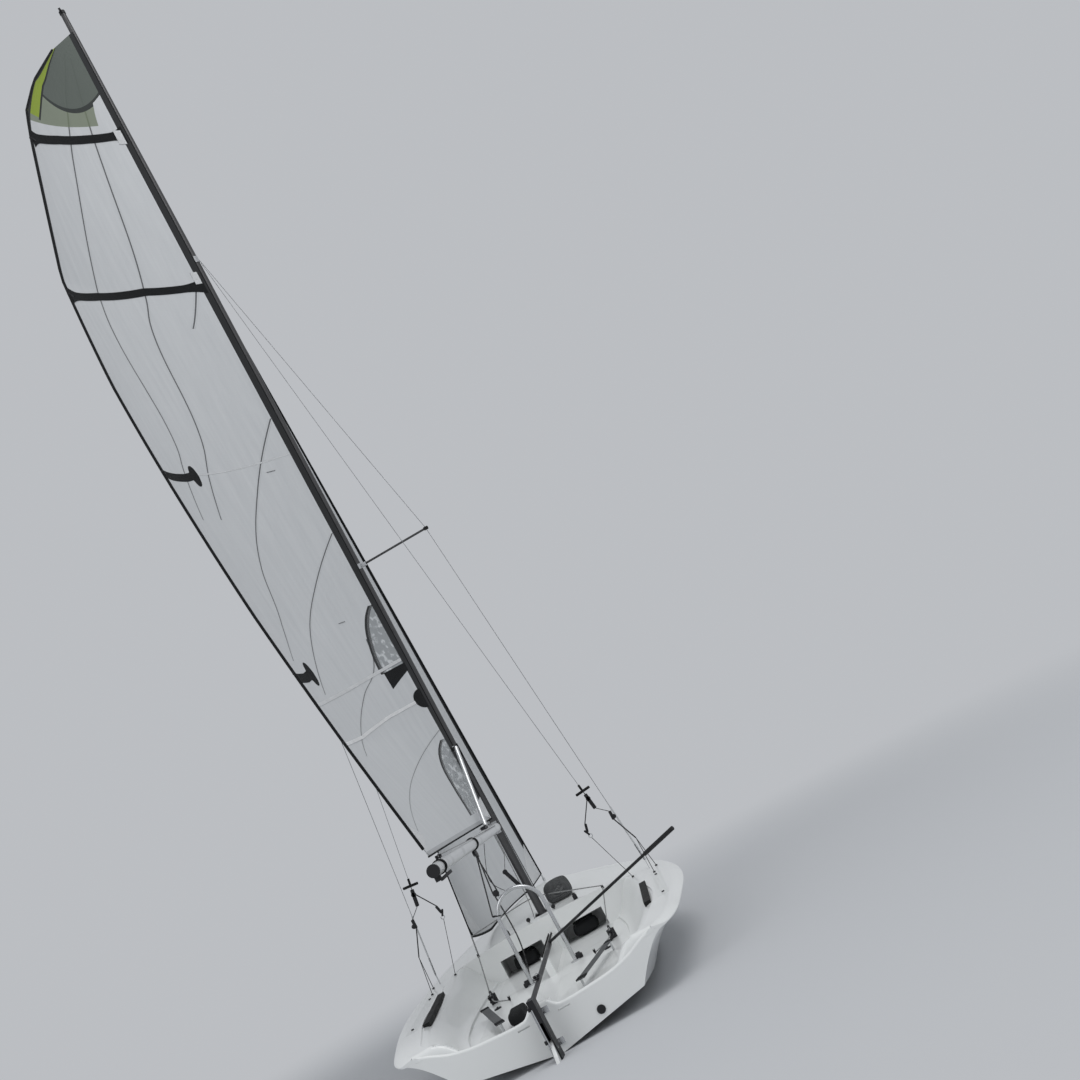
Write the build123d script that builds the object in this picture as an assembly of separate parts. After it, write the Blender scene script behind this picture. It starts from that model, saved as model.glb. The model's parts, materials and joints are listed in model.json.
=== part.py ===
from build123d import *
import math
import os

# Two-handed sailing dinghy with a fractional rig, built as separate fitted pieces.
# Millimetres and degrees. x runs forward from the transom, y to port, z up from the waterline.
# Places along the boat are in tenths of its length, or measured from one that is.

# Hull and deck mouldings
length_overall = 4500
hull_wall = 12
transom_wall = 20
deck_wall = 10
tub_wall = 8
gunwale_lip = 12
lip_bulge = 3
roll_width = 90
roll_share = 0.65
roll_rise = 22
roll_knee_in = 0.293
roll_knee_up = 0.707
corner_radius = 180
corner_flare = 0.62
wall_inset_share = 1.6
bow_solid = 150
stem_land = 24
clear = 0.3
bond_gap = 0.6
moulding_room = 900

# Hull lines by station: x in tenths of the length, keel z, chine y and z,
# flare y and z, sheer y and z, and the deck's crown above its rolled edge
hull_lines = [
    (0.00, 0, 546, 100, 650, 232, 735, 316, 8),
    (0.30, -8, 558, 92, 672, 228, 812, 317, 9),
    (0.80, -22, 580, 78, 706, 222, 872, 320, 11),
    (2.00, -55, 618, 50, 765, 212, 938, 330, 16),
    (4.00, -100, 650, 35, 805, 225, 1000, 345, 34),
    (6.00, -120, 590, 60, 735, 240, 935, 372, 58),
    (8.00, -85, 375, 130, 485, 300, 640, 435, 88),
    (9.35, -15, 125, 245, 165, 385, 225, 497, 44),
    (10.00, 150, 14, 340, 17, 440, 22, 520, 12),
]

# Cockpit tub by station: x in tenths of the length, floor half width and coaming half width
cockpit_front = 5.822
tub_lines = [
    (0.0711, 400, 585),
    (0.30, 424, 652),
    (0.80, 468, 708),
    (2.00, 528, 768),
    (3.30, 540, 788),
    (4.60, 520, 758),
    (cockpit_front, 470, 662),
]
floor_z = 200
floor_step = 14
floor_step_run = 6
coaming_drop = 6
side_roll_top = 0.45
side_roll_foot = 0.35
drain_y = 120
drain_width = 70
drain_height = 10

# Transom rim by half breadth: y and the rim's top z, from the rudder's tower outwards
rim_line = [
    (45, 285),
    (62, 268),
    (92, 244),
    (130, 237),
    (210, 238),
    (300, 244),
    (400, 252),
    (490, 268),
    (560, 289),
    (630, 320),
    (690, 341),
    (720, 350),
]
rim_radius = 15
tower_half = 58
tower_length = 150

# Lockers under the foredeck
cockpit_front_lip = 90
locker_length = 340
king_post_half = 75
locker_half = 400
bag_in = 120
bag_length = 200
bag_width = 200
bag_depth = 110
bag_corner = 25

# Mast, standing on the foredeck's aft edge
mast_place = 6.291
mast_foot_z = 458
mast_rake = 1.95
mast_length = 7690
mast_half_depth = 34
mast_half_width = 29
mast_wall = 2.5
mast_top_half_depth = 22
mast_top_half_width = 20
mast_joint_h = 5700
hounds_h = 5467
track_width = 14
track_depth = 5
track_root = 6
step_height = 20
step_length = 150
step_width = 90
pad_depth = 40
pad_margin = 20
cap_margin = 4
cap_height = 25
sheave_arm = (75, 16, 18)

# Spreaders and stays
spreader_h = 2833
spreader_reach = 578
spreader_sweep = 119
spreader_radius = 8
band_margin = 4
spreader_band = 40
hounds_band_height = 50
band_below = 20
shroud_radius = 2
shroud_forward = 4
forestay_radius = 3
forestay_forward = 8
chainplate_behind_mast = 286
chainplate_inset = 118
chainplate_z = 470
chainplate_above = 12
chainplate_size = (30, 4, 160)
stem_tack_behind_bow = 108
stem_tack_z = 575
painter_hole_radius = 8
painter_hole = (40, 570)
stem_plate_thickness = 8
# Stem plate's outline: distance behind the bow and z
stem_outline = [
    (160, 500),
    (30, 510),
    (-6, 470),
    (-6, 590),
    (90, 600),
    (130, 590),
    (160, 560),
]

# Boom, its strut and the sheet's deck hoop
gooseneck_h = 698
gooseneck_plate = (4, 40, 90)
ear_width = 24
ear_thickness = 6
ear_overhang = 12
ear_spacing = 32
boom_pin_aft = 62
boom_pin_radius = 5
boom_pin_length = 84
boom_angle = 4.4
boom_slope = 1.74
boom_length = 2500
boom_radius = 36
boom_wall = 2.5
boom_gap = 22
knuckle_size = (20, 36)
knuckle_gap = 6
knuckle_radius = 11
knuckle_height = 50
plug_length = 80
end_cap = 16
end_margin = 2
end_plug_length = 44
strut_top_h = 1335
strut_foot = 430
strut_radius = 15
strut_side = 22
strut_aft = 34
strut_eye_radius = 10
strut_eye_height = 24
strut_seat = 18
strut_room = 8
strut_mount_width = 16
slider_size = (120, 34, 22)
sheet_block_aft = 1150
sheet_block_radius = 28
sheet_block_width = 16
hoop_behind_front = 1020
hoop_half = 155
hoop_apex_z = 785
hoop_radius = 12.5
foot_radius = 32
foot_height = 8

# Sails
cloth = 4
luff_strip_thickness = 8
luff_strip_gap = 2
belly_place = 0.45
# Mainsail sections: luff height, leech height, chord, angle off the centreline, belly as a share of chord
main_sections = [
    (770, 850, 2400, 4.6, 0.020),
    (1600, 1650, 2355, 8.0, 0.080),
    (2500, 2540, 2240, 12.0, 0.100),
    (3400, 3420, 2075, 16.0, 0.105),
    (4300, 4310, 1870, 20.5, 0.100),
    (5200, 5200, 1620, 24.6, 0.095),
    (6350, 6350, 1140, 25.3, 0.080),
    (6900, 6900, 740, 25.3, 0.060),
    (7500, 7230, 480, 25.0, 0.030),
]
# Jib sections: share of the way up the luff, share up the leech and belly as a share of chord
jib_sections = [
    (0.00, 0.00, 0.050),
    (0.20, 0.22, 0.110),
    (0.45, 0.48, 0.120),
    (0.70, 0.73, 0.110),
    (0.88, 0.90, 0.080),
    (1.00, 1.00, 0.030),
]
jib_tack_along = 0.03
jib_head_along = 0.93
jib_clew_behind_mast = 31
jib_clew_side = 519
jib_clew_z = 560
jib_head_size = (70, 12)

# Centreboard and its case
board_behind_front = 70
board_pivot_z = 40
board_head = 130
board_depth = 1000
board_chord = 280
board_tip_chord = 210
board_thickness = 22
board_lead = 120
board_edge_radius = 8
case_length = 1225
case_aft_of_pivot = 1070
case_gap = 4
case_wall = 8
case_top_z = 330
case_below = 300
board_pin_radius = 8

# Rudder, tiller and extension
pintle_x = -42
pintle_radius = 4
pintle_length = 44
pintle_rise = 12
pintle_arm = (40, 22, 12)
gudgeon_heights = (62, 240)
gudgeon_thickness = 10
gudgeon_radius = 13
gudgeon_arm_width = 20
gudgeon_plate = (4, 90, 34)
helm_angle = 5
stock_gap_aft = 18
stock_top_z = 335
stock_foot_z = -40
stock_width = 100
stock_cheek = 8
stock_slot_above = 150
stock_slot_front = 12
stock_foot_slot = (40, 140)
blade_thickness = 20
blade_gap = 1
blade_bolt_radius = 6
blade_pivot_z = 60
blade_pivot_aft = 83
blade_depth = 760
blade_chord = 220
blade_tip_chord = 150
blade_edge_radius = 8
tiller_length = 1270
tiller_rise = 4.6
tiller_radius = 14
tiller_z = 312
tiller_in_stock = 20
extension_start = (1105, -20, 430)
extension_end = (534, -1032, 711)
extension_radius = 9
extension_joint_radius = 8
extension_grip_length = 260
extension_grip_radius = 13

# Bowsprit, drawn back inside the hull, and its sleeve beside the stem
sprit_y = -62
sprit_z = 432
sprit_radius = 20
sprit_length = 1460
sprit_behind_bow = 10
sleeve_length = 300
sleeve_wall = 8

# Deck fittings: ends in tenths of the length with their y
grip_ends = ((2.10, 742), (4.25, 748))
grip_width = 44
grip_sunk = 22
grip_thickness = 32
strap_ends = ((0.44, 245), (2.56, 430))
strap_z = 262
strap_width = 50
strap_thickness = 4
strap_post_radius = 7
strap_overhang = 20
cleat_behind_front = 920
cleat_y = 430
cleat_base_radius = 26
cleat_base_height = 62
cleat_sheave_radius = 24
cleat_sheave_width = 14
cleat_arm = (130, 24, 10)
cleat_arm_turn = 14
bung_y = -288
bung_z = 102
bung_radius = 24
bung_depth = 14
bung_let_in = 6

os.makedirs("parts", exist_ok=True)
pieces = {}
bottom = (Align.CENTER, Align.CENTER, Align.MIN)
forward_bottom = (Align.MIN, Align.CENTER, Align.MIN)
forward_middle = (Align.MIN, Align.CENTER, Align.CENTER)
aft_middle = (Align.MAX, Align.CENTER, Align.CENTER)
aft_bottom = (Align.MAX, Align.CENTER, Align.MIN)


def keep(node, shape):
    """Store one finished piece under its node name."""
    pieces[node] = shape


def along_boat(tenths):
    """A place along the boat from its tenths of the length."""
    return tenths * length_overall / 10


def rod(start, end, radius):
    """A round bar between two points."""
    start = Vector(*start)
    end = Vector(*end)
    along = end - start
    base = Plane(origin=start, z_dir=along)
    return extrude(base * Circle(radius), along.length)


def strip(start, end, width, thickness):
    """A flat bar between two points, its underside on their line."""
    start = Vector(*start)
    run = Vector(*end) - start
    side = Vector(0, 0, 1).cross(run)
    place = Plane(origin=start, x_dir=run, z_dir=run.cross(side))
    return place * Box(run.length, width, thickness, align=forward_bottom)


def prism(points, plane, depth):
    """A straight-sided outline on a plane, extruded by depth."""
    return extrude(plane * make_face(Polyline(*points, close=True)), depth)


def crossing_pin(x, z, radius, length):
    """A round pin across the boat."""
    return Pos(x, 0, z) * Rot(90, 0, 0) * Cylinder(radius, length)


def both_sides(shape):
    """A piece and its mirror image across the centreline."""
    return Compound([shape, mirror(shape, about=Plane.XZ)])


def rows_at(table, x):
    """Values of a station table at any x, by straight interpolation."""
    for low, high in zip(table, table[1:]):
        if x <= high[0]:
            break
    share = (x - low[0]) / (high[0] - low[0])
    return tuple(a + share * (b - a) for a, b in zip(low, high))


stations = [(along_boat(tenths), *rest) for tenths, *rest in hull_lines]


# Hull shell and deck skin
def deck_edge(row, lift):
    """The rolled edge's three points and the crown's top point, lifted through the deck skin."""
    x, *_, sheer_y, sheer_z, crown = row
    reach = min(roll_width, roll_share * sheer_y)
    rise = roll_rise * reach / roll_width
    rim_y = sheer_y + gunwale_lip * lift / deck_wall
    base_z = sheer_z + lift
    knee = (x, rim_y - roll_knee_in * reach, base_z + roll_knee_up * rise)
    shoulder = (x, sheer_y + gunwale_lip - reach, base_z + rise)
    return (x, rim_y, base_z), knee, shoulder, (x, 0, base_z + rise + crown)


def mirrored(points):
    """Points mirrored across the centreline, in reverse order."""
    return [(x, -y, z) for x, y, z in reversed(points)]


def crowned(edge, knee, shoulder, top):
    """The deck's line over the boat, from the port edge to the starboard edge."""
    starboard = mirrored([edge, knee, shoulder])
    return [
        ThreePointArc(edge, knee, shoulder),
        ThreePointArc(shoulder, top, starboard[0]),
        ThreePointArc(*starboard),
    ]


def hull_face(row):
    """Closed outer section of the hull, up into the deck skin that trims it."""
    x, keel_z, chine_y, chine_z, flare_y, flare_z, sheer_y, sheer_z, _ = row
    keel = (x, 0, keel_z)
    side = [(x, chine_y, chine_z), (x, flare_y, flare_z), (x, sheer_y, sheer_z)]
    other = mirrored(side)
    edge, knee, shoulder, top = deck_edge(row, deck_wall / 2)
    edge = (x, sheer_y, edge[2])
    return Face(Wire([
        Line(keel, side[0]),
        ThreePointArc(*side),
        Line(side[2], edge),
        *crowned(edge, knee, shoulder, top),
        Line((x, -sheer_y, edge[2]), other[0]),
        ThreePointArc(*other),
        Line(other[2], keel),
    ]))


def hollow_face(row):
    """Closed inner section of the hull, open above the sheer."""
    x, keel_z, chine_y, chine_z, flare_y, flare_z, sheer_y, sheer_z, _ = row
    inset = wall_inset_share * hull_wall
    keel = (x, 0, keel_z + hull_wall)
    side = [
        (x, chine_y - hull_wall, chine_z + hull_wall),
        (x, flare_y - inset, flare_z),
        (x, sheer_y - inset, sheer_z),
    ]
    top = (x, sheer_y - inset, moulding_room)
    other = mirrored(side)
    other_top = (x, -top[1], moulding_room)
    return Face(Wire([
        Line(keel, side[0]),
        ThreePointArc(*side),
        Line(side[2], top),
        Line(top, other_top),
        Line(other_top, other[0]),
        ThreePointArc(*other),
        Line(other[2], keel),
    ]))


def deck_face(row):
    """Closed section of the deck skin, from gunwale to gunwale, with its half-round lip."""
    x, *_, sheer_y, sheer_z, _ = row
    rim_y = sheer_y + gunwale_lip
    lip = [
        (x, rim_y, sheer_z),
        (x, rim_y + lip_bulge, sheer_z + deck_wall / 2),
        (x, rim_y, sheer_z + deck_wall),
    ]
    starboard_under = [(x, -y, z) for x, y, z in deck_edge(row, 0)]
    return Face(Wire([
        Line((x, sheer_y, sheer_z), lip[0]),
        ThreePointArc(*lip),
        *crowned(*deck_edge(row, deck_wall)),
        ThreePointArc(*mirrored(lip)),
        Line((x, -rim_y, sheer_z), (x, -sheer_y, sheer_z)),
        *crowned(*starboard_under),
    ]))


def deck_top(x, y):
    """Height of the deck's upper face at a place on it."""
    _, _, shoulder, top = deck_edge(rows_at(stations, x), deck_wall)
    return shoulder[2] + (top[2] - shoulder[2]) * (1 - (y / shoulder[1]) ** 2)


corner_y = stations[0][6] + gunwale_lip + lip_bulge
plan_corners = [
    (0, -corner_y),
    (0, corner_y),
    (length_overall / 2, corner_y + corner_flare * length_overall / 2),
    (length_overall * 2, corner_y + corner_flare * length_overall / 2),
    (length_overall * 2, -corner_y - corner_flare * length_overall / 2),
    (length_overall / 2, -corner_y - corner_flare * length_overall / 2),
]
plan_face = make_face(Polyline(*plan_corners, close=True))
plan_face = fillet(plan_face.vertices().group_by(Axis.X)[0], corner_radius)
plan_room = extrude(Pos(0, 0, -moulding_room) * plan_face, 2 * moulding_room)

hull_solid = loft([hull_face(row) for row in stations]) & plan_room
hollow_rows = [rows_at(stations, transom_wall), *stations[1:-1], rows_at(stations, length_overall - bow_solid)]
hull_hollow = loft([hollow_face(row) for row in hollow_rows])
deck_skin = loft([deck_face(row) for row in stations]) & plan_room


# Cockpit tub, rolling down from the side decks to its floor
def tub_face(row, wall, top_z):
    """Section of the cockpit tub, grown outwards by wall."""
    x, floor_y, coaming_y = row
    coaming_z = deck_top(x, coaming_y) - coaming_drop - wall
    width = coaming_y - floor_y
    outer = coaming_y + wall
    foot_y = floor_y + floor_step_run + wall
    foot_z = floor_z + floor_step - wall
    low_z = floor_z - wall
    roll = [
        (x, outer, coaming_z),
        (x, outer - side_roll_top * width, coaming_z),
        (x, foot_y + side_roll_foot * width, foot_z),
        (x, foot_y, foot_z),
    ]
    floor_edge = (x, floor_y + wall, low_z)
    other_edge = (x, -floor_y - wall, low_z)
    other_roll = mirrored(roll)
    return Face(Wire([
        Line((x, outer, top_z), roll[0]),
        Bezier(*roll),
        Line(roll[-1], floor_edge),
        Line(floor_edge, other_edge),
        Line(other_edge, other_roll[0]),
        Bezier(*other_roll),
        Line(other_roll[-1], (x, -outer, top_z)),
        Line((x, -outer, top_z), (x, outer, top_z)),
    ]))


tub_rows = [(along_boat(tenths), *rest) for tenths, *rest in tub_lines]
tub_void = loft([tub_face(row, 0, moulding_room) for row in tub_rows])
tub_skin = loft([
    tub_face(row, tub_wall, deck_top(row[0], row[2]) - coaming_drop - clear) for row in tub_rows
])

cockpit_front_x = along_boat(cockpit_front)
front_row = tub_rows[-1]
front_coaming_z = deck_top(cockpit_front_x, front_row[2]) - coaming_drop
bulkhead = extrude(tub_face(front_row, tub_wall, moulding_room), tub_wall, dir=(1, 0, 0)) & hull_solid

locker_high = front_coaming_z - cockpit_front_lip - floor_z
locker_middle = (king_post_half + locker_half) / 2


def locker(side, grow, back):
    """One pocket under the foredeck, on one side of the king post, from back behind its mouth."""
    corner = (cockpit_front_x - back, side * locker_middle, floor_z - grow)
    locker_width = locker_half - king_post_half
    size = (locker_length + back + grow, locker_width + 2 * grow, locker_high + 2 * grow)
    return Pos(*corner) * Box(*size, align=forward_bottom)


lockers_grown = [locker(side, tub_wall, 0) for side in (1, -1)]
lockers_open = [locker(side, 0, tub_wall) for side in (1, -1)]

# Centreboard case, under the cockpit floor and up through it
board_pivot_x = cockpit_front_x - board_behind_front
case_aft_x = board_pivot_x - case_aft_of_pivot
case_inner = board_thickness + 2 * case_gap
case_outer = case_inner + 2 * case_wall
case_box = Pos(case_aft_x - case_wall, 0, -case_below) * Box(
    case_length + 2 * case_wall, case_outer, case_below + case_top_z, align=forward_bottom)
case_slot = Pos(case_aft_x, 0, -case_below - case_wall) * Box(
    case_length, case_inner, case_below + case_top_z, align=forward_bottom)


# Transom rim: a round bead along the top of the transom, on a wall inside it
def rim_points(x, drop):
    """The rim's line at x, lowered by drop, from its starboard end to its port end."""
    half = [(x, y, z - drop) for y, z in rim_line]
    return mirrored(half), half


def rim_run(x, drop):
    """The rim's line as edges."""
    starboard, port = rim_points(x, drop)
    return [Spline(*starboard), Line(starboard[-1], port[0]), Spline(*port)]


def rim_region(x, drop, level):
    """The face between the lowered rim and a level above or below it."""
    starboard, port = rim_points(x, drop)
    low_port = (x, port[-1][1], level)
    low_starboard = (x, starboard[0][1], level)
    return Face(Wire([
        *rim_run(x, drop),
        Line(port[-1], low_port),
        Line(low_port, low_starboard),
        Line(low_starboard, starboard[0]),
    ]))


rim_depth = tub_rows[0][0]
rim_middle = rim_depth / 2


def rim_beads(radius):
    """The round bead along the rim, in three lengths."""
    starboard, port = rim_points(rim_middle, rim_radius)
    lengths = [rod(starboard[-1], port[0], radius)]
    for run in (starboard, port):
        path = Wire([Spline(*run)])
        start = Plane(origin=path @ 0, z_dir=path % 0)
        lengths.append(sweep(start * Circle(radius), path=path))
    return lengths


beads = [bead & hull_solid for bead in rim_beads(rim_radius)]
above_face = rim_region(-tower_length, rim_radius, moulding_room)
above_rim = extrude(above_face, tower_length + rim_depth, dir=(1, 0, 0))
tower_low = floor_z - tub_wall
wall_face = rim_region(transom_wall, rim_radius, tower_low)
rim_wall = extrude(wall_face, rim_depth - transom_wall + tub_wall, dir=(1, 0, 0)) & hull_solid
tower = Pos(0, 0, tower_low) * Box(
    tower_length, 2 * tower_half, rim_line[0][1] - rim_radius - tower_low, align=forward_bottom)
drain = Pos(-tub_wall, drain_y, floor_z) * Box(
    rim_depth + 2 * tub_wall, drain_width, drain_height, align=forward_bottom)
drains = both_sides(drain)

# The hull, cut clear of the deck's curved faces by the gap that the bonding paste fills
hull_shell = hull_solid - Pos(0, 0, -bond_gap) * deck_skin - hull_hollow - tub_skin - tub_void - case_box
hull_shell = hull_shell - above_rim - rim_wall - tower - drains
stem_head = Pos(length_overall, 0, stations[-1][7] - bond_gap) * Box(
    stem_land, 2 * roll_width, moulding_room, align=aft_bottom)
hull_shell = hull_shell - stem_head
for bead in rim_beads(rim_radius + bond_gap):
    hull_shell = hull_shell - bead

mast_x = along_boat(mast_place)
step_low = mast_foot_z - step_height
step_pad = Pos(mast_x, 0, step_low - pad_depth) * Box(
    step_length + 2 * pad_margin, step_width + 2 * pad_margin, pad_depth + step_height, align=bottom)
step_well = Pos(mast_x, 0, step_low) * Box(
    step_length + pad_margin, step_width + pad_margin, moulding_room, align=bottom)
deck = deck_skin - above_rim + tub_skin + rim_wall - tub_void
deck = deck + bulkhead + tower + step_pad - step_well
for bead in beads:
    deck = deck + bead
for grown in lockers_grown:
    deck = deck + grown
for opened in lockers_open:
    deck = deck - opened
deck = deck - case_box - drains
keep("centreboard_case", (case_box - case_slot) & hull_solid)

# Rig frame: forward, port and up along the mast, from the mast's foot
rake = math.radians(mast_rake)
rig = Plane(
    origin=(mast_x, 0, mast_foot_z),
    x_dir=(math.cos(rake), 0, math.sin(rake)),
    z_dir=(-math.sin(rake), 0, math.cos(rake)),
).location


def from_rig(forward, port, up):
    """A point of the rig frame, in the boat's frame."""
    return (rig * Pos(forward, port, up)).position


def mast_ring(margin, height):
    """A band round the mast, open where the sail track runs through it."""
    return extrude(Ellipse(mast_half_depth + margin, mast_half_width + margin) - mast_outline - track, height)


track_face = -mast_half_depth - track_depth
mast_outline = Ellipse(mast_half_depth, mast_half_width)
mast_bore = Ellipse(mast_half_depth - mast_wall, mast_half_width - mast_wall)
track = Pos(track_face, 0) * Rectangle(track_depth + track_root, track_width, align=(Align.MIN, Align.CENTER))
keep("mast_lower", rig * extrude(mast_outline + track - mast_bore, mast_joint_h))

taper = mast_half_depth - mast_top_half_depth
upper = loft([
    Pos(0, 0, mast_joint_h) * mast_outline,
    Pos(-taper, 0, mast_length) * Ellipse(mast_top_half_depth, mast_top_half_width),
])
upper = upper + extrude(Pos(0, 0, mast_joint_h) * track, mast_length - mast_joint_h)
upper_bore = loft([
    Pos(0, 0, mast_joint_h) * mast_bore,
    Pos(-taper, 0, mast_length) * Ellipse(mast_top_half_depth - mast_wall, mast_top_half_width - mast_wall),
])
keep("mast_upper", rig * (upper - upper_bore))

cap = extrude(Ellipse(mast_top_half_depth + cap_margin, mast_top_half_width + cap_margin), cap_height)
cap = cap + Box(*sheave_arm, align=aft_bottom)
keep("masthead_cap", rig * Pos(-taper, 0, mast_length) * cap)

step = Pos(mast_x, 0, step_low) * Box(step_length, step_width, step_height, align=bottom)
keep("mast_step", step - rig * extrude(mast_outline + track, step_height + pad_depth))

# Spreaders on their bracket
spreader_ring = mast_ring(band_margin, spreader_band)
keep("spreader_bracket", rig * Pos(0, 0, spreader_h - spreader_band / 2) * spreader_ring)
chainplate_x = mast_x - chainplate_behind_mast
chainplate_y = rows_at(stations, chainplate_x)[6] - chainplate_inset
for name, side in (("port", 1), ("starboard", -1)):
    root = from_rig(-spreader_radius, side * (mast_half_width + band_margin), spreader_h)
    tip = from_rig(-spreader_sweep, side * spreader_reach, spreader_h)
    top = from_rig(shroud_forward, side * (mast_half_width + band_margin), hounds_h)
    plate = (chainplate_x, side * chainplate_y, chainplate_z)
    upper_run = rod(top, tip, shroud_radius) + Pos(*tip) * Sphere(shroud_radius)
    shroud = upper_run + rod(tip, plate, shroud_radius)
    keep("shroud_" + name, shroud)
    keep("spreader_" + name, rod(root, tip, spreader_radius) - shroud)
shrouds = (pieces["shroud_port"], pieces["shroud_starboard"])

# Hounds band, forestay and stem fitting
band = rig * Pos(0, 0, hounds_h - band_below) * mast_ring(band_margin, hounds_band_height)
keep("hounds_band", band - shrouds[0] - shrouds[1])
stem_tack_x = length_overall - stem_tack_behind_bow
stay_top = from_rig(mast_half_depth + forestay_forward, 0, hounds_h)
stay_foot = (stem_tack_x, 0, stem_tack_z)
forestay = rod(stay_top, stay_foot, forestay_radius)
keep("forestay", forestay)

stem_profile = [(length_overall - behind, 0, z) for behind, z in stem_outline]
stem = extrude(make_face(Polyline(*stem_profile, close=True)), stem_plate_thickness / 2, both=True)
painter_hole_x = length_overall - painter_hole[0]
stem = stem - crossing_pin(painter_hole_x, painter_hole[1], painter_hole_radius, 2 * stem_plate_thickness)
keep("stem_fitting", stem - forestay)

# Chainplates, let into the side decks
plate_strap = Pos(chainplate_x, chainplate_y, chainplate_z + chainplate_above) * Box(
    *chainplate_size, align=(Align.CENTER, Align.CENTER, Align.MAX))
keep("chainplates", both_sides(plate_strap) - shrouds[0] - shrouds[1])

# Gooseneck on the mast, with the boom's pin
ear_reach = boom_pin_aft + track_face + ear_overhang
goose = Pos(track_face, 0, gooseneck_h) * Box(*gooseneck_plate, align=aft_middle)
for level in (-ear_spacing, ear_spacing):
    goose = goose + Pos(track_face, 0, gooseneck_h + level) * Box(
        ear_reach, ear_width, ear_thickness, align=aft_middle)
pin_place = rig * Pos(-boom_pin_aft, 0, gooseneck_h)
keep("gooseneck", rig * goose + pin_place * Cylinder(boom_pin_radius, boom_pin_length))

# Boom and what swings with it
pin_frame = pin_place * Rot(0, 0, -boom_angle)
boom_frame = pin_frame * Rot(0, boom_slope, 0)
boom_bore = boom_radius - boom_wall
tube = Rot(0, -90, 0) * extrude(Circle(boom_radius) - Circle(boom_bore), boom_length - boom_gap)
keep("boom_tube", boom_frame * Pos(-boom_gap, 0, 0) * tube)
plug = Pos(-boom_gap - plug_length / 2, 0, 0) * Rot(0, 90, 0) * Cylinder(boom_bore, plug_length)
neck = Pos(-knuckle_gap, 0, 0) * Box(boom_gap, *knuckle_size, align=aft_middle)
knuckle = boom_frame * (neck + plug) + pin_frame * Cylinder(knuckle_radius, knuckle_height)
keep("boom_knuckle", knuckle - pin_frame * Cylinder(boom_pin_radius + clear, boom_pin_length))
end_plug = Pos(-boom_length - end_cap / 2, 0, 0) * Rot(0, 90, 0) * Cylinder(boom_radius + end_margin, end_cap)
end_plug = end_plug + Pos(-boom_length + end_plug_length / 2, 0, 0) * Rot(0, 90, 0) * Cylinder(
    boom_bore, end_plug_length)
keep("boom_end", boom_frame * end_plug)

slider_bar = Pos(-strut_foot, 0, boom_radius) * Box(*slider_size, align=bottom)
slider_bar = slider_bar - Rot(0, 90, 0) * Cylinder(boom_radius, 2 * boom_length)
keep("strut_slider", boom_frame * slider_bar)
strut_eye_z = strut_top_h - gooseneck_h
strut_low = (boom_frame * Pos(-strut_foot, -strut_radius, boom_radius + strut_seat)).position
strut_high = (pin_frame * Pos(-strut_aft, -strut_side, strut_eye_z)).position
strut = rod(strut_high, strut_low, strut_radius) - pieces["strut_slider"]
link_turn = math.degrees(math.atan2(strut_side, strut_aft))
link_plan = SlotCenterToCenter(math.hypot(strut_aft, strut_side), 2 * strut_eye_radius)
link_place = Pos(-strut_aft / 2, -strut_side / 2, strut_eye_z) * Rot(0, 0, link_turn)
eye_link = extrude(link_place * link_plan, strut_eye_height / 2, both=True)
eye_bore = pin_frame * Pos(0, 0, strut_eye_z) * Cylinder(boom_pin_radius + clear, 2 * strut_eye_height)
eye_place = rig * Pos(-boom_pin_aft, 0, strut_top_h)
eye_room = eye_place * Cylinder(strut_eye_radius + strut_room, 2 * strut_eye_height)
keep("boom_strut", strut + pin_frame * eye_link - eye_bore)
bracket_room = strut_eye_height / 2 + 2
strut_mount = Pos(track_face, 0, strut_top_h) * Box(
    gooseneck_plate[0], strut_mount_width, 2 * (bracket_room + ear_thickness), align=aft_middle)
for side in (1, -1):
    ear_h = strut_top_h + side * (bracket_room + ear_thickness / 2)
    strut_mount = strut_mount + Pos(track_face, 0, ear_h) * Box(
        ear_reach, strut_mount_width, ear_thickness, align=aft_middle)
strut_pin = eye_place * Cylinder(boom_pin_radius, 2 * (bracket_room + ear_thickness))
keep("strut_bracket", rig * strut_mount + strut_pin)
block = Pos(-sheet_block_aft, 0, -boom_radius - sheet_block_radius) * Rot(90, 0, 0) * Cylinder(
    sheet_block_radius, sheet_block_width)
keep("boom_sheet_block", boom_frame * block)


# Sails
def cloth_section(luff, leech, belly):
    """A bellied strip of cloth between two points, its hollow side to starboard."""
    luff = Vector(*luff)
    leech = Vector(*leech)
    chord = leech - luff
    leeward = Vector(0, 0, 1).cross(chord).normalized() * -1
    middle = luff + chord * belly_place + leeward * (belly * chord.length)
    shift = leeward * cloth
    return Face(Wire([
        ThreePointArc(luff, middle, leech),
        Line(leech, leech + shift),
        ThreePointArc(leech + shift, middle + shift, luff + shift),
        Line(luff + shift, luff),
    ]))


main_faces = []
for luff_h, leech_h, chord, angle, belly in main_sections:
    turn = math.radians(angle)
    luff_point = (-boom_pin_aft, 0, luff_h)
    leech_point = (-boom_pin_aft - chord * math.cos(turn), chord * math.sin(turn), leech_h)
    main_faces.append(cloth_section(luff_point, leech_point, belly))
keep("mainsail", rig * loft(main_faces, ruled=True) - eye_room)

strip_low = main_sections[0][0]
strip_high = main_sections[-1][0]
luff_strip = Pos(track_face, 0, strip_low) * Box(
    boom_pin_aft + track_face - clear - luff_strip_gap, luff_strip_thickness, strip_high - strip_low,
    align=aft_bottom)
strip_gap = Pos(track_face, 0, strut_top_h) * Box(
    boom_pin_aft, strut_mount_width, 2 * strut_eye_height, align=aft_middle)
keep("luff_tape", rig * (luff_strip - strip_gap))

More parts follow.
